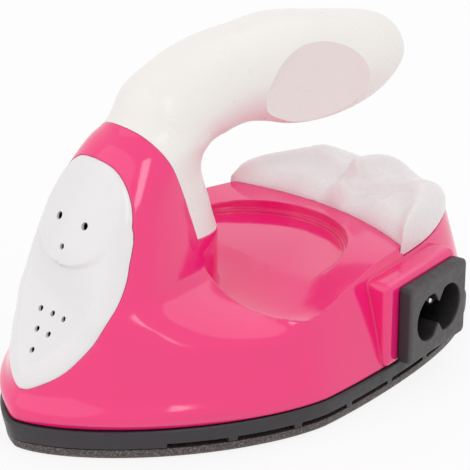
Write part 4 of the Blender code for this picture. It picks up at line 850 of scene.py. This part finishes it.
class Paint:
    # Small builder for a Principled material
    def __init__(self, name, colour, roughness, metallic=0.0):
        self.material = bpy.data.materials.new(name)
        self.material.use_nodes = True
        self.nodes = self.material.node_tree.nodes
        self.links = self.material.node_tree.links
        self.shader = self.nodes["Principled BSDF"]
        self.set("Base Color", (*colour, 1.0))
        self.set("Roughness", roughness)
        self.set("Metallic", metallic)
        self.place = self.nodes.new("ShaderNodeTexCoord").outputs["Object"]
        self.normal = None

    def set(self, name, value):
        self.shader.inputs[name].default_value = value

    def link(self, value, name):
        self.links.new(value, self.shader.inputs[name])

    def noise(self, scale, detail, roughness=0.5, stretch=None):
        node = self.nodes.new("ShaderNodeTexNoise")
        node.inputs["Scale"].default_value = scale
        node.inputs["Detail"].default_value = detail
        node.inputs["Roughness"].default_value = roughness
        where = self.place
        if stretch is not None:
            mapping = self.nodes.new("ShaderNodeMapping")
            mapping.inputs["Scale"].default_value = stretch
            self.links.new(where, mapping.inputs["Vector"])
            where = mapping.outputs["Vector"]
        self.links.new(where, node.inputs["Vector"])
        return node.outputs["Fac"]

    def depth(self, point, outward):
        # Distance of the surface outward from a plane through a point
        away = self.nodes.new("ShaderNodeVectorMath")
        away.operation = "SUBTRACT"
        away.inputs[1].default_value = point
        self.links.new(self.place, away.inputs[0])
        along = self.nodes.new("ShaderNodeVectorMath")
        along.operation = "DOT_PRODUCT"
        along.inputs[1].default_value = outward
        self.links.new(away.outputs["Vector"], along.inputs[0])
        return along.outputs["Value"]

    def scaled(self, value, low, high, reach=NOISE_REACH):
        node = self.nodes.new("ShaderNodeMapRange")
        names = ("From Min", "From Max", "To Min", "To Max")
        for name, number in zip(names, (*reach, low, high)):
            node.inputs[name].default_value = number
        self.links.new(value, node.inputs["Value"])
        return node.outputs["Result"]

    def ramp(self, value, stops):
        # Base colour that runs through colour stops
        node = self.nodes.new("ShaderNodeValToRGB")
        elements = node.color_ramp.elements
        for i, (position, colour, share) in enumerate(stops):
            element = elements[i] if i < 2 else elements.new(position)
            element.position = position
            element.color = (*(min(1.0, c * share) for c in colour), 1.0)
        self.links.new(value, node.inputs["Fac"])
        self.link(node.outputs["Color"], "Base Color")

    def rough(self, noise, reach):
        # Roughness that wanders between two values
        self.link(self.scaled(self.noise(*noise), *reach), "Roughness")

    def soften(self, radius):
        # Rounds the look of moulded edges
        node = self.nodes.new("ShaderNodeBevel")
        node.samples = BEVEL_SAMPLES
        node.inputs["Radius"].default_value = radius
        self.normal = node.outputs["Normal"]
        self.link(self.normal, "Normal")

    def bump(self, noise, height):
        node = self.nodes.new("ShaderNodeBump")
        node.inputs["Strength"].default_value = 1.0
        node.inputs["Distance"].default_value = height
        self.links.new(self.noise(*noise), node.inputs["Height"])
        if self.normal is not None:
            self.links.new(self.normal, node.inputs["Normal"])
        self.link(node.outputs["Normal"], "Normal")


def moulded(name, colour, roughness, vary):
    # Injection-moulded plastic: slightly uneven colour and gloss
    paint = Paint(name, colour, roughness)
    low, high = NOISE_REACH
    stops = ((low, colour, 1.0 - vary), (high, colour, 1.0 + vary))
    paint.ramp(paint.noise(*CLOUD_NOISE), stops)
    paint.rough(GLOSS_NOISE, [roughness * share for share in GLOSS_SHARES])
    return paint


def make_materials():
    table = {slot: moulded(*finish) for slot, *finish in MOULDED_FINISHES}
    table["shell_pink"].set("Specular IOR Level", PINK_GLOSS)
    for name, value in COVER_DEPTH:
        table["cover_white"].set("Subsurface " + name, value)
    for slot, *finish in OTHER_FINISHES:
        table[slot] = Paint(*finish)
    for slot, noise, reach in UNEVEN_GLOSS:
        table[slot].rough(noise, reach)
    for slot, radius in SOFT_EDGES:
        table[slot].soften(radius)
    for slot, noise, height in GRAINS:
        table[slot].bump(noise, height)
    # Painted shade: the inlet's base colour darkens with depth behind its front face, to near
    # black deep in the socket
    inlet = table["inlet_black"]
    depth = inlet.depth(inlet_point(0.0, 0.0, INLET_Z), inlet_turn() @ Vector((1.0, 0.0, 0.0)))
    inlet.ramp(inlet.scaled(depth, 0.0, 1.0, (-INLET_FLANGE * 2, 0.0)), SOCKET_SHADE_STOPS)
    sole = table["sole_metal"]
    sole.ramp(sole.noise(*SPECK_NOISE), SPECK_STOPS)
    return {slot: paint.material for slot, paint in table.items()}


# Forms shared with the solids


def sole_ring(z, grow, count, nose=None):
    tip = -SOLE_LENGTH / 2 - (grow if nose is None else nose)
    heel = SOLE_LENGTH / 2 + grow
    middle = WIDEST_Y_SHARE * SOLE_LENGTH
    front, rear = dense_outline(tip, middle, heel, lambda y: sole_half_width(y, grow, nose))
    return mirror_half([(x, y, z) for x, y in resample(front + rear[1:], count)])


def slot_places():
    # Start and end of each slot along one side, nose to heel
    spots = []
    y = SLOT_START_Y
    while y < SLOT_END_Y:
        step = Vector((sole_half_width(y + SLOT_LENGTH) - sole_half_width(y), SLOT_LENGTH))
        length = SLOT_LENGTH * SLOT_LENGTH / step.length
        spots.append((y, y + length))
        y += length + SLOT_RIB
    return spots


def slot_cutter(name, side, start, end):
    outline = []
    for y in spread(start, end, SLOT_POINTS):
        outline.append((side * (sole_half_width(y) + OVERCUT / 4), y))
    for y in spread(end, start, SLOT_POINTS):
        outline.append((side * (sole_half_width(y) - SLOT_DEPTH), y))
    return prism(name, outline, SOLE_EDGE - SLOT_HEIGHT, SOLE_EDGE + GAP + SLOT_HEIGHT, 2)


def split_prism(name, shift_y, shift_z, upper):
    foot = (FOOT_SHARES[0] * SOLE_LENGTH, FOOT_SHARES[1] * OVERALL_HEIGHT)
    path = [(y + shift_y, z + shift_z) for y, z in split_path() + [foot]]
    back = SOLE_LENGTH
    end = OVERALL_HEIGHT + OVERCUT if upper else 0.0
    outline = path + [(back, path[-1][1]), (back, end), (path[0][0], end)]
    return prism(name, outline, -SOLE_WIDTH, SOLE_WIDTH, 0)


def deck_cutter(name, drop):
    half = SOLE_WIDTH / 2 + OVERCUT / 4
    least, growth, shrinkage = FILLET_SHARES
    stations = [-half * s for s in reversed(DECK_SIDE_SHARES[1:])]
    stations += [half * s for s in DECK_SIDE_SHARES]
    rings = []
    for x in stations:
        wall = deck_front_y(x) - drop
        grown = least + growth * past(abs(x) / half, BESIDE_SHARES)
        fillet = WAIST_BLEND * grown * (1.0 - shrinkage * past(abs(x) / half, BEYOND_SHARES))
        start = wall + fillet
        ring = [(wall, CLEAR_TOP_Z), (wall, (CLEAR_TOP_Z + deck_z(wall)) / 2)]
        for angle in spread(0.0, math.pi / 2, FILLET_POINTS):
            y = wall + fillet * (1.0 - math.cos(angle))
            ring.append((y, deck_z(start) - drop + fillet * (1.0 - math.sin(angle))))
        for y in spread(start, BED_FRONT_Y + OVERCUT / 4, DECK_POINTS)[1:]:
            ring.append((y, deck_z(y) - drop))
        ring.append((SOLE_LENGTH, deck_z(SOLE_LENGTH) - drop))
        ring.append((SOLE_LENGTH, CLEAR_TOP_Z))
        rings.append([Vector((x, y, z)) for y, z in ring])
    return loft(name, rings)


def bed_cutter(name, drop):
    half = SOLE_WIDTH / 2 + OVERCUT / 4
    rings = []
    for i in range(-BED_COLUMNS, BED_COLUMNS + 1):
        x = half * i / BED_COLUMNS
        front = bed_front_y(x) - drop
        ring = [(front, CLEAR_TOP_Z), (front, bed_z(front) - drop)]
        for y in spread(front, SOLE_LENGTH / 2 + OVERCUT, BED_POINTS)[1:]:
            ring.append((y, bed_z(y) - drop))
        ring.append((ring[-1][0], CLEAR_TOP_Z))
        rings.append([Vector((x, y, z)) for y, z in ring])
    return loft(name, rings)


def well_cutter(name, grow, floor, count):
    # Round well, closed at the front by a straight line over the low part of the deck
    radius = WELL_RADIUS + grow
    start = math.asin((WELL_FRONT_Y - WELL_Y) / radius)
    outline = []
    for i in range(count + 1):
        angle = start + (math.pi - 2.0 * start) * i / count
        outline.append((radius * math.cos(angle), WELL_Y + radius * math.sin(angle)))
    return prism(name, outline, floor, CLEAR_TOP_Z, 2)


def inlet_turn():
    return Matrix.Rotation(INLET_YAW, 4, "Z")


def inlet_point(outward, along, z):
    offset = inlet_turn() @ Vector((outward, along, 0.0))
    return Vector((INLET_X + offset.x, INLET_Y + offset.y, z))


def plate_outline(scale):
    half = [(w * SOLE_WIDTH, h * OVERALL_HEIGHT) for h, w in PLATE_SHARES]
    line = resample(smooth_path(half, PLATE_STEPS), PLATE_POINTS // 2 + 1)
    line = line + [(-x, z) for x, z in reversed(line[1:-1])]
    return [(x * scale, PLATE_CENTRE_Z + (z - PLATE_CENTRE_Z) * scale) for x, z in line]


def plate_y(x, z):
    # Front of the plate: nose surface with a sunken middle below a flat round dome
    outer = surface_y(x, z)
    crest, middle = interpolate(VALLEY_SHARES, z / OVERALL_HEIGHT)
    inside = min(1.0, abs(x) / (crest * SOLE_WIDTH))
    lower = outer
    if inside < 1.0 and z > VALLEY_SHARES[0][0] * OVERALL_HEIGHT:
        ridge = surface_y(crest * SOLE_WIDTH, z)
        lower = ridge + (middle * SOLE_LENGTH - ridge) * (1.0 - inside * inside)
    face = interpolate(FACE_SHARES, z / OVERALL_HEIGHT)[0] * SOLE_LENGTH
    upper = max(outer, face + x * x / FACE_BOW)
    reach = math.hypot(x / DOME_WIDTH, (z - DOME_Z) / DOME_HEIGHT)
    dome = smooth((1.0 - reach) * DOME_HEIGHT / DOME_SOFTNESS + 0.5)
    return lower + (upper - lower) * dome


def plate_ring(share, depth, dome=False):
    front = plate_y if dome else surface_y
    return [Vector((x, front(x, z) + depth, z)) for x, z in plate_outline(share)]


def plate_cutter(name, scale, depth):
    rings = [plate_ring(share * scale, depth) for share in PLATE_SEAT_SHARES]
    ahead = -SOLE_LENGTH / 2 - OVERCUT
    rings.append([Vector((point.x, ahead, point.z)) for point in rings[-1]])
    return loft(name, rings)


def vent_places():
    # Side place, height and radius of each hole
    vents = [(0.0, LAMP_VENT_LOW_Z, VENT_RADIUS)]
    for side in (1, -1):
        vents.append((side * LAMP_VENT_X, LAMP_VENT_Z, LAMP_VENT_RADIUS))
    for row in range(VENT_ROWS):
        for k in range(VENT_ROWS - row):
            x = VENT_PITCH_X * (k - (VENT_ROWS - 1 - row) / 2)
            vents.append((x, VENT_ROW_Z - row * VENT_PITCH_Z, VENT_RADIUS))
    return vents


def shell_rings(grow, counts, levels, upper, stations):
    rings = [full_level(s * OVERALL_HEIGHT, grow, *counts) for s in levels]
    rings += [tower_ring(s * OVERALL_HEIGHT, grow, counts) for s in upper]
    rings += [arch_ring(s, grow, counts) for s in stations]
    return rings


def arch_stations(last):
    return spread(0.0, last, round(last / STATION_STEP) + 1)


def heel_line():
    # Rear outline of the shell at the level of the cover foot, left corner to right corner
    ring = full_level(COVER_LEVEL, 0.0, *HEEL_COUNTS)
    corner = bed_front_y(BED_CORNER_X)
    right = [(p.x, p.y) for p in ring[: len(ring) // 2 + 1] if p.y > corner]
    line = [(-x, y) for x, y in right] + [(x, y) for x, y in reversed(right[:-1])]
    return resample(line, HEEL_POINTS)


def cover_top(side, front_z, back_z):
    # Share of the way from front edge to back edge and height, over the crest
    crest_share, crest = interpolate(CREST_SHARES, side)
    crest_z = crest_share * OVERALL_HEIGHT
    round_rise = past(side, RISE_END_SHARES)
    tip = past(side, FALL_END_SHARES)
    top = []
    for s in spread(0.0, 1.0, RISE_POINTS):
        rise = interpolate(RISE_SHARES, s)[0]
        rise += (math.sin(math.pi / 2 * s) - rise) * round_rise
        top.append((s * crest, front_z + (crest_z - front_z) * rise))
    for t in spread(0.0, 1.0, FALL_POINTS)[1:]:
        angle = math.pi / 2 * t
        s = crest + (1.0 - crest) * (math.sin(angle) * (1.0 - tip) + t * tip)
        fall = math.cos(angle) * (1.0 - tip) + (1.0 - t ** FALL_POWER) * tip
        top.append((s, back_z + (crest_z - back_z) * fall))
    return top


def cover_ring(u, heel):
    # Section of the cover at a side share, hollow from below
    x = heel[0][0] * -u
    start = Vector((x, bed_front_y(x) - SEAM, 0.0))
    end = Vector((*heel[round((HEEL_POINTS - 1) * (u + 1.0) / 2)], 0.0))
    front_foot = bed_z(start.y) + GAP
    back_foot = bed_z(end.y) + GAP
    top = cover_top(abs(u), deck_z(start.y) + COVER_EDGE, back_foot + COVER_EDGE)
    wall = min(COVER_WALL_SHARE, COVER_WALL / (end - start).length)
    hollow = 1.0 - past(abs(u), HOLLOW_END_SHARES)
    under = []
    for s, z in reversed(top[1:-1:2]):
        s = wall + (1.0 - 2.0 * wall) * s
        floor = bed_z(start.y + (end.y - start.y) * s) + GAP
        under.append((s, floor + max(0.0, z - COVER_WALL - floor) * hollow))
    ring = [(0.0, front_foot), *top, (1.0, back_foot)]
    ring += [(1.0 - wall, back_foot), *under, (wall, front_foot)]
    return [Vector((*(start + (end - start) * s).xy, z)) for s, z in ring]


def eight_outline():
    # Figure-eight outline: two round lobes with a pointed notch above and below
    offset = LOBE_SPACING / 2
    sweep = math.pi - math.acos((offset - NOTCH_HALF) / LOBE_RADIUS)
    lobe = []
    for k in range(LOBE_STEPS + 1):
        angle = sweep * (2.0 * k / LOBE_STEPS - 1.0)
        lobe.append((offset + LOBE_RADIUS * math.cos(angle), LOBE_RADIUS * math.sin(angle)))
    half = lobe + [(0.0, NOTCH_TIP)]
    return half + [(-x, -z) for x, z in half]


def inlet_ring(outline, outward):
    return [inlet_point(outward, a, INLET_Z + b) for a, b in outline]


def inlet_prism(name, outline, near, far):
    return loft(name, [inlet_ring(outline, near), inlet_ring(outline, far)])


def rounded_outline(width, height, steps):
    # Rectangle with the corners of the inlet
    radius = INLET_BEVEL
    outline = []
    for cx, cz, start in ((1, 1, 0), (-1, 1, 1), (-1, -1, 2), (1, -1, 3)):
        for k in range(steps + 1):
            angle = math.pi / 2 * (start + k / steps)
            x = cx * (width / 2 - radius) + radius * math.cos(angle)
            z = cz * (height / 2 - radius) + radius * math.sin(angle)
            outline.append((x, z))
    return outline


# Pieces


def make_cavity():
    sections = (spread(*CAVITY_LEVELS), CAVITY_TOWER_LEVELS, CAVITY_STATIONS)
    cavity = loft("cavity", shell_rings(-SHELL_WALL, CAVITY_POINTS, *sections))
    cut(cavity, split_prism("cavity_split", -SHELL_WALL * CAVITY_SPLIT_SHARE, -SHELL_WALL, True))
    cut(cavity, deck_cutter("cavity_deck", SHELL_WALL))
    cut(cavity, bed_cutter("cavity_bed", SHELL_WALL))
    grow = SHELL_WALL * CAVITY_WELL_SHARE
    cut(cavity, well_cutter("cavity_well", grow, WELL_FLOOR_Z - SHELL_WALL, CAVITY_WELL_STEPS))
    return cavity


def make_shell(materials):
    sections = (spread(*SHELL_LEVELS), spread(*TOWER_LEVELS), arch_stations(SHELL_LAST_STATION))
    shell = loft("shell", shell_rings(0.0, SHELL_POINTS, *sections))
    cut(shell, make_cavity())
    height = BOSS_TOP - SHELL_BASE
    outward = -INLET_FLANGE - GAP - BOSS_DEPTH / 2
    centre = inlet_point(outward, (BOSS_REAR - BOSS_FRONT) / 2, SHELL_BASE + height / 2)
    join(shell, box("boss", (BOSS_DEPTH, BOSS_FRONT + BOSS_REAR, height), centre, BOSS_ROUND))
    cut(shell, split_prism("split", 0.0, 0.0, True))
    cut(shell, deck_cutter("deck", 0.0))
    cut(shell, bed_cutter("bed", 0.0))
    cut(shell, well_cutter("well_upper", 0.0, WELL_STEP_Z, WELL_STEPS))
    cut(shell, well_cutter("well_lower", -WELL_STEP, WELL_FLOOR_Z, WELL_STEPS))
    cut(shell, plate_cutter("plate_seat", 1.0 - SEAM / DOME_WIDTH, PLATE_THICKNESS + 2 * GAP))
    reach = (-SOLE_LENGTH / 2 - OVERCUT, TOWER_SHARES[0][1] * SOLE_LENGTH)
    cut(shell, prism("plate_opening", plate_outline(PLATE_OPENING_SHARE), *reach, 1))
    size = (BOSS_DEPTH * 4, INLET_BODY_WIDTH + 2 * GAP, INLET_BODY_HEIGHT + 2 * GAP)
    cut(shell, box("inlet_hole", size, inlet_point(-INLET_FLANGE - BOSS_DEPTH, 0.0, INLET_Z)))
    show(shell, materials, "shell_pink", "main_housing")


def make_plate(materials):
    rings = []
    for share in spread(*PLATE_FRONT_RINGS):
        rings.append(plate_ring(share, -PLATE_PROUD, True))
    for share, height, dome in PLATE_EDGE_SHARES:
        rings.append(plate_ring(share, PLATE_PROUD * height, dome))
    rings.append(plate_ring(1.0, PLATE_THICKNESS))
    for share in spread(*PLATE_BACK_RINGS):
        rings.append(plate_ring(share, PLATE_THICKNESS, share < PLATE_DOME_SHARE))
    plate = loft("plate", rings)
    for i, (x, z, radius) in enumerate(vent_places()):
        spot = Vector((x, plate_y(x, z), z))
        reach = Vector((0.0, -1.0, VENT_RISE)).normalized() * OVERCUT / 4
        cut(plate, rod("vent_%d" % i, radius, spot - reach, spot + reach))
        inner = spot - reach.normalized() * VENT_WALL
        cut(plate, rod("vent_back_%d" % i, radius * VENT_BACK_SHARE, inner, spot - reach))
    show(plate, materials, "plate_white", "front_plate")


def make_handle(materials):
    stations = arch_stations(len(ARCH_SHARES) - 1)
    rings = shell_rings(0.0, HANDLE_POINTS, (), spread(*STEM_LEVELS), stations)
    handle = loft("handle_form", rings)
    cut(handle, split_prism("handle_split", SEAM, SEAM * 2, False))
    across, along = SCOOP_SEGMENTS
    for side in (1, -1):
        bm = bmesh.new()
        bmesh.ops.create_uvsphere(bm, u_segments=across, v_segments=along, radius=1.0)
        place(bm, Matrix.Diagonal((SCOOP_DEPTH_X, SCOOP_LENGTH, SCOOP_HEIGHT, 1.0)))
        place(bm, Matrix.Rotation(side * SCOOP_TILT, 4, "Y"))
        centre = (side * (SCOOP_BOTTOM_X + SCOOP_DEPTH_X), SCOOP_Y, SCOOP_Z)
        place(bm, Matrix.Translation(centre))
        cut(handle, finish_mesh("scoop_%d" % (side + 1), bm))
    show(handle, materials, "handle_white", "handle")


def make_cover(materials):
    heel = heel_line()
    rings = []
    for i in range(COVER_RINGS):
        rings.append(cover_ring(COVER_REACH * (2.0 * i / (COVER_RINGS - 1) - 1.0), heel))
    show(loft("cover", rings), materials, "cover_white", "rear_cover")


def make_sole(materials):
    rings = []
    for height, grow in SOLE_EDGE_SHARES:
        rings.append(sole_ring(SOLE_CHAMFER * height, SOLE_CHAMFER * grow, SOLE_POINTS))
    rings.append(sole_ring(SOLE_EDGE, 0.0, SOLE_POINTS))
    sole = loft("sole", rings)
    inset = -RING_SHELF - PAD_CLEARANCE
    join(sole, loft("pad", [sole_ring(z, inset, HIDDEN_POINTS) for z in (SOLE_EDGE / 2, PAD_TOP)]))
    show(sole, materials, "sole_metal", "soleplate")


def make_ring(materials):
    low = SOLE_EDGE + GAP
    bulge_z = low + (RING_TOP - low) * RING_BULGE_SHARE
    nose = RING_NOSE_OVERHANG
    rings = []
    for z, grow, nose_grown in (
        (low, RING_OVERHANG / 2, RING_OVERHANG / 2),
        (bulge_z, RING_OVERHANG, nose * RING_NOSE_BULGE_SHARE),
        (RING_TOP - SOLE_CHAMFER / 4, RING_OVERHANG, nose),
        (RING_TOP, RING_OVERHANG / 2, nose / 2),
    ):
        rings.append(sole_ring(z, grow, SOLE_POINTS, nose_grown))
    ring = loft("ring", rings)
    window = [sole_ring(z, -RING_SHELF, HIDDEN_POINTS) for z in (-OVERCUT, OVERCUT)]
    cut(ring, loft("ring_window", window))
    for i, (start, end) in enumerate(slot_places()):
        for side in (1, -1):
            cut(ring, slot_cutter("slot_%d_%d" % (i, side + 1), side, start, end))
    show(ring, materials, "ring_black", "heat_ring")


def make_inlet(materials):
    rings = []
    for angle in spread(0.0, math.pi / 2, FLANGE_RINGS):
        inset = INLET_BEVEL * (1.0 - math.sin(angle)) * FLANGE_EDGE_SHARE
        outward = -INLET_BEVEL * (1.0 - math.cos(angle)) * FLANGE_EDGE_SHARE
        size = (INLET_WIDTH - 2 * inset, INLET_HEIGHT - 2 * inset)
        rings.append(inlet_ring(rounded_outline(*size, CORNER_STEPS), outward))
    outline = rounded_outline(INLET_WIDTH, INLET_HEIGHT, CORNER_STEPS)
    rings.append(inlet_ring(outline, -INLET_FLANGE))
    inlet = loft("inlet", rings)
    outline = rounded_outline(INLET_BODY_WIDTH, INLET_BODY_HEIGHT, BODY_CORNER_STEPS)
    join(inlet, inlet_prism("inlet_body", outline, -INLET_FLANGE / 2, -INLET_BODY_DEPTH))
    cut(inlet, inlet_prism("socket", eight_outline(), OVERCUT / 4, -SOCKET_DEPTH))
    for side in (1, -1):
        start = inlet_point(-SOCKET_DEPTH / 2, side * PIN_SPACING / 2, INLET_Z)
        end = inlet_point(-INLET_BODY_DEPTH - OVERCUT, side * PIN_SPACING / 2, INLET_Z)
        cut(inlet, rod("pin_way_%d" % (side + 1), PIN_RADIUS + GAP, start, end))
    show(inlet, materials, "inlet_black", "inlet_housing")


def dress_solids(materials):
    # The hidden solids keep their shape and get a finish
    slots = {row["node"]: row["material_slot"] for row in frame["record"]["subparts"]}
    for name, obj in frame["nodes"].items():
        obj.data.materials.clear()
        obj.data.materials.append(materials[slots[name]])


# Stage


def add_light(name, place_at, size, energy):
    data = bpy.data.lights.new(name, "AREA")
    data.shape = "RECTANGLE"
    data.size, data.size_y = size
    data.energy = energy
    lamp = add_object(name, data)
    lamp.location = place_at
    direction = Vector(LIGHT_TARGET) - lamp.location
    lamp.rotation_euler = direction.to_track_quat("-Z", "Y").to_euler()


def make_camera():
    level = math.cos(CAMERA_RISE)
    side = math.sin(CAMERA_AZIMUTH) * level
    back = Vector((side, -math.cos(CAMERA_AZIMUTH) * level, math.sin(CAMERA_RISE)))
    data = bpy.data.cameras.new("camera")
    data.sensor_width = CAMERA_SENSOR
    data.lens = CAMERA_LENS
    data.clip_start, data.clip_end = CAMERA_CLIP
    camera = add_object("camera", data)
    camera.location = CAMERA_PLACE
    camera.rotation_mode = "QUATERNION"
    camera.rotation_quaternion = back.to_track_quat("Z", "Y")
    bpy.context.scene.camera = camera


def math_node(tree, operation, first):
    node = tree.nodes.new("ShaderNodeMath")
    node.operation = operation
    tree.links.new(first, node.inputs[0])
    return node


def seen_white(tree, base, share):
    # Mixes plain white over a shader for what the camera and reflections see
    path = tree.nodes.new("ShaderNodeLightPath")
    seen = path.outputs["Is Camera Ray"]
    for ray in ("Is Glossy Ray", "Is Transmission Ray"):
        node = math_node(tree, "MAXIMUM", seen)
        tree.links.new(path.outputs[ray], node.inputs[1])
        seen = node.outputs[0]
    weight = math_node(tree, "MULTIPLY", seen)
    weight.inputs[1].default_value = share
    glow = tree.nodes.new("ShaderNodeEmission" if share < 1.0 else "ShaderNodeBackground")
    glow.inputs["Color"].default_value = WHITE
    mix = tree.nodes.new("ShaderNodeMixShader")
    tree.links.new(weight.outputs[0], mix.inputs[0])
    tree.links.new(base, mix.inputs[1])
    tree.links.new(glow.outputs[0], mix.inputs[2])
    return mix.outputs[0]


def make_floor():
    bm = bmesh.new()
    bmesh.ops.create_grid(bm, x_segments=2, y_segments=2, size=FLOOR_SIZE)
    mesh = bpy.data.meshes.new("floor")
    bm.to_mesh(mesh)
    bm.free()
    floor = add_object("floor", mesh)
    floor.location = (0.0, 0.0, -FLOOR_DROP)
    paint = Paint("floor_white", FLOOR_COLOUR, FLOOR_ROUGHNESS)
    tree = paint.material.node_tree
    surface = seen_white(tree, paint.shader.outputs[0], FLOOR_GLOW_SHARE)
    paint.links.new(surface, paint.nodes["Material Output"].inputs["Surface"])
    mesh.materials.append(paint.material)


def make_world():
    world = bpy.data.worlds.new("studio")
    bpy.context.scene.world = world
    world.use_nodes = True
    tree = world.node_tree
    base = tree.nodes["Background"]
    base.inputs["Color"].default_value = WHITE
    base.inputs["Strength"].default_value = WORLD_STRENGTH
    out = tree.nodes["World Output"]
    tree.links.new(seen_white(tree, base.outputs[0], WORLD_GLOW_SHARE), out.inputs["Surface"])


def make_stage():
    bpy.context.scene.view_settings.view_transform = "Standard"
    make_floor()
    make_world()
    for light in LIGHTS:
        add_light(*light)


def main():
    materials = make_materials()
    for make in (
        make_sole, make_ring, make_shell, make_plate, make_handle, make_cover, make_inlet
    ):
        make(materials)
    for obj in cutters:
        bpy.data.objects.remove(obj, do_unlink=True)
    dress_solids(materials)
    make_camera()
    make_stage()


main()
